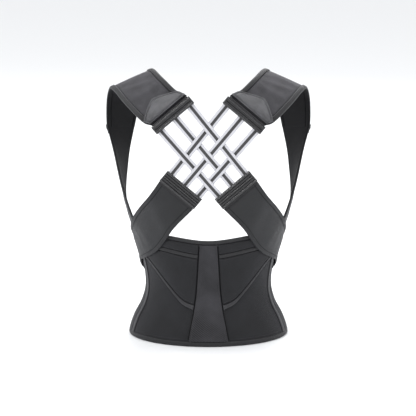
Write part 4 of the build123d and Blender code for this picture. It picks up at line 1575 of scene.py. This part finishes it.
def swell_pad(obj, rim_points):
    """Blows a closed cover up against its pinned rim and applies the result."""
    before = np.empty(len(obj.data.vertices) * 3, np.float32)
    obj.data.vertices.foreach_get("co", before)
    pinned = obj.vertex_groups.new(name="rim")
    pinned.add([int(i) for i in rim_points], 1.0, "REPLACE")
    cloth = obj.modifiers.new("cover", "CLOTH")
    cloth.settings.quality = 4
    cloth.settings.mass = 0.2
    cloth.settings.tension_stiffness = 12
    cloth.settings.compression_stiffness = 12
    cloth.settings.bending_stiffness = 0.8
    cloth.settings.use_pressure = True
    cloth.settings.uniform_pressure_force = PAD_PRESSURE
    cloth.settings.vertex_group_mass = "rim"
    cloth.settings.effector_weights.gravity = 0
    cloth.point_cache.frame_end = PAD_FRAMES
    scene = bpy.context.scene
    for at in range(1, PAD_FRAMES + 1):
        scene.frame_set(at)
    solved = obj.evaluated_get(bpy.context.evaluated_depsgraph_get())
    after = np.empty_like(before)
    solved.data.vertices.foreach_get("co", after)
    obj.modifiers.clear()
    obj.vertex_groups.clear()
    scene.frame_set(1)
    before, after = before.reshape(-1, 3), after.reshape(-1, 3)
    move = after - before
    size = np.linalg.norm(move, axis=1, keepdims=True)
    move *= PAD_CAP * np.tanh(size / PAD_CAP) / np.maximum(size, 1e-9)
    obj.data.vertices.foreach_set("co", (before + move).ravel())
    obj.data.update()
    print(obj.name, "swelled by up to", round(float(size.max()) / MM, 2), "mm before the cap")


# %% Sew the shoulder pads
PAD_SHARE = 2 * PAD_EDGE / PAD_WIDTH
PAD_TUCK = 2 * TUCK / PAD_WIDTH
PAD_SLIM = 1.0 * MM


def pad_cover(name, right):
    """The padded middle of a shoulder loop."""
    piece = Piece()
    place = ribbon(0.0, PAD_END, -1 + PAD_SHARE - PAD_TUCK, 1 - PAD_SHARE + PAD_TUCK)

    def eased(x, y, u, v):
        return soft_waves(x, y, 0.05, 53) * 0.5 * FAINT_WAVE

    # The inner face takes the darker cloth: painted shade.
    sheet(
        piece, place, PAD_THICK - PAD_SLIM, cell=3.6 * MM, roll=1.4 * MM, relief=eased, inside=1,
    )
    points = np.concatenate(piece.flat)
    wide, tall = np.abs(points[:, 0]).max(), np.abs(points[:, 1]).max()
    near = (np.abs(points[:, 0]) > wide - 2 * MM) | (np.abs(points[:, 1]) > tall - 2 * MM)
    obj = piece.make(name, [PAD_CLOTH, SHADED_INNER_CLOTH], right=right)
    swell_pad(obj, np.flatnonzero(near))
    finer = obj.modifiers.new("finer", "SUBSURF")
    finer.levels = 1
    finer.render_levels = 1
    solved = obj.evaluated_get(bpy.context.evaluated_depsgraph_get())
    smoothed = bpy.data.meshes.new_from_object(solved)
    obj.modifiers.clear()
    obj.data = smoothed
    return obj


for side in SIDES:
    node = f"shoulder_pad_{side}"
    pad = pad_cover(node + "_sewn", side == "right")
    settle(pad, f"shoulder_{side}", "pad_cloth", node)


def pad_border(left, right, inner_v):
    """A gatherer for a border strip of the loop, stitched on its inner side."""

    def gather(piece):
        place = ribbon(0.0, PAD_END, left, right)
        rim = PAD_THICK + PAD_EXTRA
        rolled = crowned(0.4 * MM, 0.3 * MM, 4)
        # The inner face takes the darker cloth: painted shade.
        sheet(piece, place, rim, cell=2.4 * MM, roll=1.8 * MM, relief=rolled, inside=2)
        for v in (inner_v, 0.5):
            seam(piece, place, level_path(v, 0.004, 0.996, 90), rim + 0.05 * MM, 3.4 * MM)

    return gather


for name, left, right, inner_v in (
    ("pad_edge_outer", -1.0, -1 + PAD_SHARE, 0.78), ("pad_edge_inner", 1 - PAD_SHARE, 1.0, 0.22),
):
    gather = pad_border(left, right, inner_v)
    both_sides(name, "shoulder", "edge_tape", gather, [TAPE, THREAD, SHADED_INNER_CLOTH])
print("shoulder pads sewn")

# %% [markdown]
# ### The strap under the arm
# Where the pad ends, the loop narrows into a thin soft strap that runs back under the
# arm and tucks in behind the diagonal strap. A short tape covers the step between the
# thick pad and the thin strap. One end of the strap is sewn to the belt.

# %% Sew the underarm strap
UNDERARM_SCALE, PAD_FIT = UNDERARM_TOP / PAD_FRONT, 0.985


def underarm(piece):
    """The thin strap under the arm."""
    start = PAD_END - 0.06

    def place(u, v, out):
        s = start + (LOOP_END - start) * u
        slim = UNDERARM_SCALE + (PAD_FIT - UNDERARM_SCALE) * (1 - ease((s - start) / 0.9))
        return on_loop(s, (2 * v - 1) * slim, 0.4 * MM + out)

    half = UNDERARM_WIDTH / 2
    relief = strap_relief(61, half, 0.4 * MM)
    # The inner face takes the darker cloth: painted shade.
    sheet(piece, place, UNDERARM_THICK, cell=2.6 * MM, relief=relief, inside=2)
    for v in (0.045, 0.955):
        seam(piece, place, level_path(v, 0.01, 0.99, 50), UNDERARM_THICK + 0.4 * MM, 3.2 * MM)


UNDERARM_HELD, UNDERARM_FREE = (-0.140, -0.010, 0.215), (-0.157, 0.060, 0.350)
underarm_straps = both_sides(
    "underarm_strap", None, "strap_cloth", underarm, [STRAP_CLOTH, THREAD, SHADED_INNER_CLOTH],
    ["shoulder_pad_SIDE", "lower_strap_SIDE"],
)
bend(underarm_straps, "shoulder", UNDERARM_HELD, UNDERARM_FREE)


def pad_tail(piece):
    """The tape over the step from the pad to the strap."""
    start, end = PAD_END - 0.14, PAD_END + 0.2
    high, low = PAD_THICK + PAD_EXTRA + 0.3 * MM, UNDERARM_THICK + 0.5 * MM

    def place(u, v, out):
        lift = low + (high - low) * (1 - ease((u - 0.35) / 0.4))
        return on_loop(start + (end - start) * u, (2 * v - 1) * 0.98, lift + out)

    sheet(piece, place, 1.0 * MM, cell=1.6 * MM, roll=0.5 * MM)
    for u in (0.12, 0.88):
        seam(piece, place, upright_path(u, 0.03, 0.97, 24), 1.05 * MM, 3.0 * MM)


both_sides("pad_tail", "shoulder", "edge_tape", pad_tail, [TAPE, THREAD], extra=True)
print("underarm straps sewn")

# %% [markdown]
# ### The leather patch
# A five-sided patch of soft grained leather covers the seam above the housing. It is
# slightly domed, and a line of topstitching sits in a pressed groove just inside its
# edge. Near-black cords round the rim and along the groove paint their shadow lines.

# %% Stitch on the patches
PATCH_SIDE, PATCH_APEX, PATCH_THICK, PATCH_GAP = 14 * MM, 38 * MM, 1.6 * MM, 2.0 * MM
PATCH_GROOVE, PATCH_POINT = 3.4 * MM, 1.3
loop_stops = np.linspace(0, 3, 301)
loop_steps = np.linalg.norm(np.diff(on_loop(loop_stops, 0.0), axis=0), axis=1)
loop_run = np.concatenate([[0], loop_steps.cumsum()])


def patch_reach(v):
    """Distance from the housing to the patch's upper edge."""
    return PATCH_SIDE + (PATCH_APEX - PATCH_SIDE) * (1 - np.abs(2 * v - 1) ** PATCH_POINT)


def patch_place(u, v, out):
    """Points of the left patch: u from the housing to the peak, v across."""
    s = np.interp(u * patch_reach(v), loop_run, loop_stops)
    return on_loop(s, (2 * v - 1) * PAD_FIT, PAD_THICK + PAD_EXTRA + PATCH_GAP + out)


def patch(piece):
    """The domed patch with its pressed groove and topstitching."""

    def dome(x, y, u, v):
        edge = np.minimum(
            np.minimum(u, 1 - u) * patch_reach(v), np.minimum(v, 1 - v) * PAD_WIDTH
        )
        groove = -0.9 * MM * np.exp(-(((edge - PATCH_GROOVE) / (0.9 * MM)) ** 2))
        return groove + 0.8 * MM * ease((edge - PATCH_GROOVE) / (4 * MM)) + 0.3 * MM

    sheet(piece, patch_place, PATCH_THICK, cell=0.95 * MM, roll=0.9 * MM, relief=dome)
    across = [0.042 + 0.916 * i / 30 for i in range(31)]
    inset = [PATCH_GROOVE / patch_reach(v) for v in across]
    top = [(1 - near, v) for near, v in zip(inset, across)]
    bottom = list(zip(inset, across))[::-1]
    seam(piece, patch_place, top + bottom + top[:1], PATCH_THICK - 0.35 * MM, 2.7 * MM)
    # Near-black cords round the rim and in the groove: painted shadow lines.
    rim = [(0.995, i / 40) for i in range(41)]
    for path in (rim, [(0.995, 0.0), (0.01, 0.0)], [(0.995, 1.0), (0.01, 1.0)]):
        piping(piece, patch_place, path, -0.1 * MM, 0.8 * MM, 2)
    piping(piece, patch_place, top, PATCH_THICK - 1.0 * MM, 0.5 * MM, 2)


both_sides("patch", "shoulder", "patch_leather", patch, [LEATHER, THREAD, DARK_THREAD_AND_GROOVE_SHADE])
print("patches stitched")

# %% [markdown]
# ## Gussets and front flaps
# An elastic gusset at each side lets the belt grip and lets the front open. The two
# flaps lap over each other in front, the outer one from the wearer's right. Each is a
# thin padded panel with channels for its bones, inside a bound edge.

# %% Sew the gussets
INNER_END, OUTER_END = 195.0, 194.0
LAP_START, LAP_FULL = 149.0, 167.0
FLAP_BINDING = 8.0 * MM
HOOK_INSET = 18 * MM
LAP_RISE = BINDING_THICK + HOOK_THICK - 1.0 * MM


def gusset(piece):
    """The ribbed elastic between the side panel and the flap."""
    place = wrap(
        -GUSSET_END - 0.5, -(SIDE_END - 0.3), 1.0 * MM, lambda a: panel_top(a) - 0.5 * MM,
        SHELL_AT - 0.3 * MM,
    )

    def ribs(x, y, u, v):
        return 0.3 * MM * np.cos(2 * pi * x / (3.0 * MM)) - 0.1 * MM

    sheet(piece, place, SHELL_THICK - 0.4 * MM, cell=0.9 * MM, relief=ribs, roll=0.5 * MM)
    for u in (0.05, 0.95):
        zigzag(piece, place, upright_path(u, 0.01, 0.99), SHELL_THICK, 0.9 * MM, 2.2 * MM)


GUSSET_BACK, GUSSET_HINGE = (-0.1405, 0.004, 0.0), (-0.138, 0.024, 0.0)
gussets = both_sides(
    "gusset", None, "gusset_elastic", gusset, [ELASTIC, THREAD],
    ["side_panel_SIDE", "front_flap_SIDE"],
)
bend(gussets, "flap", GUSSET_BACK, GUSSET_HINGE)


# %% Sew the flaps
BONE_SEAMS = (0.3, 0.36, 0.62, 0.68)


def outer_lap(angle):
    """How far the outer flap stands off to lie over the inner one."""
    return LAP_RISE * ease((np.abs(angle) - LAP_START) / (LAP_FULL - LAP_START))


def no_lap(angle):
    """The inner flap lies straight on the body."""
    return 0.0 * np.asarray(angle, float)


def flap_shell(end, lap):
    """A gatherer for the padded panel of a flap."""
    turn = degrees((FLAP_BINDING - TUCK) / WAIST_HALF_DEPTH)
    place = wrap(
        -(end - turn), -GUSSET_END, FIELD_LOW,
        lambda a: panel_top(a) - FLAP_BINDING + TUCK, lambda a: SHELL_AT + lap(a),
    )

    def padding(x, y, u, v):
        channels = sum(np.exp(-(((u - at) / 0.012) ** 2)) for at in BONE_SEAMS)
        swell = 0.3 * MM * (1 - (2 * v - 1) ** 6)
        return swell - 0.45 * MM * channels + soft_waves(x, y, 0.05, 71) * FAINT_WAVE

    def gather(piece):
        sheet(piece, place, SHELL_THICK, cell=2.4 * MM, relief=padding)
        for u in BONE_SEAMS:
            seam(piece, place, upright_path(u, 0.02, 0.98, 24), SHELL_THICK - 0.1 * MM)

    return gather


def edge_strip(place, rows):
    """A gatherer for one stretch of flap binding."""

    def gather(piece):
        thick = BINDING_THICK - 1.0 * MM
        crown = crowned(0.45 * MM, 0.4 * MM, 4)
        sheet(piece, place, thick, cell=2.2 * MM, roll=1.4 * MM, relief=crown)
        for v in rows:
            seam(piece, place, level_path(v, 0.004, 0.996, 70), thick + 0.02 * MM, 3.2 * MM)

    return gather


def flap_border(end, lap):
    """A gatherer for the whole binding of a flap: below, above and at the free end."""
    turn = degrees(FLAP_BINDING / WAIST_HALF_DEPTH)
    away = lambda a: 1.0 * MM + lap(a)
    low = wrap(-end, -GUSSET_END, 0.0, HEM_BINDING, away)
    high = wrap(-end, -GUSSET_END, lambda a: panel_top(a) - FLAP_BINDING, panel_top, away)
    upright = wrap(
        -end, -(end - turn), HEM_BINDING, lambda a: panel_top(a) - FLAP_BINDING, away
    )

    def tip(u, v, out):
        return upright(v, u, out)

    def gather(piece):
        edge_strip(low, (0.72, 0.3))(piece)
        edge_strip(high, (0.25,))(piece)
        edge_strip(tip, (0.75,))(piece)

    return gather


for side, end, lap in (("left", INNER_END, no_lap), ("right", OUTER_END, outer_lap)):
    body, right = f"flap_{side}", side == "right"
    panel = sew(
        f"front_flap_{side}", body, "panel_cloth", flap_shell(end, lap), [PANEL_CLOTH, THREAD],
        right=right,
    )
    sew(
        f"flap_binding_{side}", body, "edge_tape", flap_border(end, lap), [TAPE, THREAD],
        right=right,
    )
print("flaps sewn")


# %% Sew the loop panel and the hook patch
LOOP_THICK, LOOP_SINK = 0.5 * MM, 0.35 * MM


def loop_panel(piece):
    """The brushed panel on the inner flap."""
    place = wrap(
        -(INNER_END - 7.5), -(LAP_START + 2.0), HOOK_INSET, lambda a: panel_top(a) - HOOK_INSET,
        TRIM_AT - LOOP_SINK,
    )

    def nap(x, y, u, v):
        return soft_waves(x, y, 0.004, 83) * 0.1 * MM

    sheet(piece, place, LOOP_THICK, cell=1.8 * MM, relief=nap, roll=0.4 * MM)
    for v in (0.03, 0.97):
        seam(piece, place, level_path(v, 0.02, 0.98), LOOP_THICK, 2.8 * MM)


def hook_patch(piece):
    """The hook tape inside the outer flap."""
    place = wrap(
        -(OUTER_END - 8.0), -(LAP_FULL + 2.0), HOOK_INSET, lambda a: panel_top(a) - HOOK_INSET,
        SHELL_AT + LAP_RISE - HOOK_THICK - 0.3 * MM,
    )
    sheet(piece, place, HOOK_THICK, cell=3 * MM, roll=0.3 * MM)
    hooks(piece, place, 0.1 * MM, 1.9 * MM, 0.4 * MM)


sew("loop_panel", "flap_left", "loop_cloth", loop_panel, [LOOP_PILE, THREAD])
sew("hook_patch", "flap_right", "hook_tape", hook_patch, [HOOK_TAPE] * 2, right=True)
print("closure sewn")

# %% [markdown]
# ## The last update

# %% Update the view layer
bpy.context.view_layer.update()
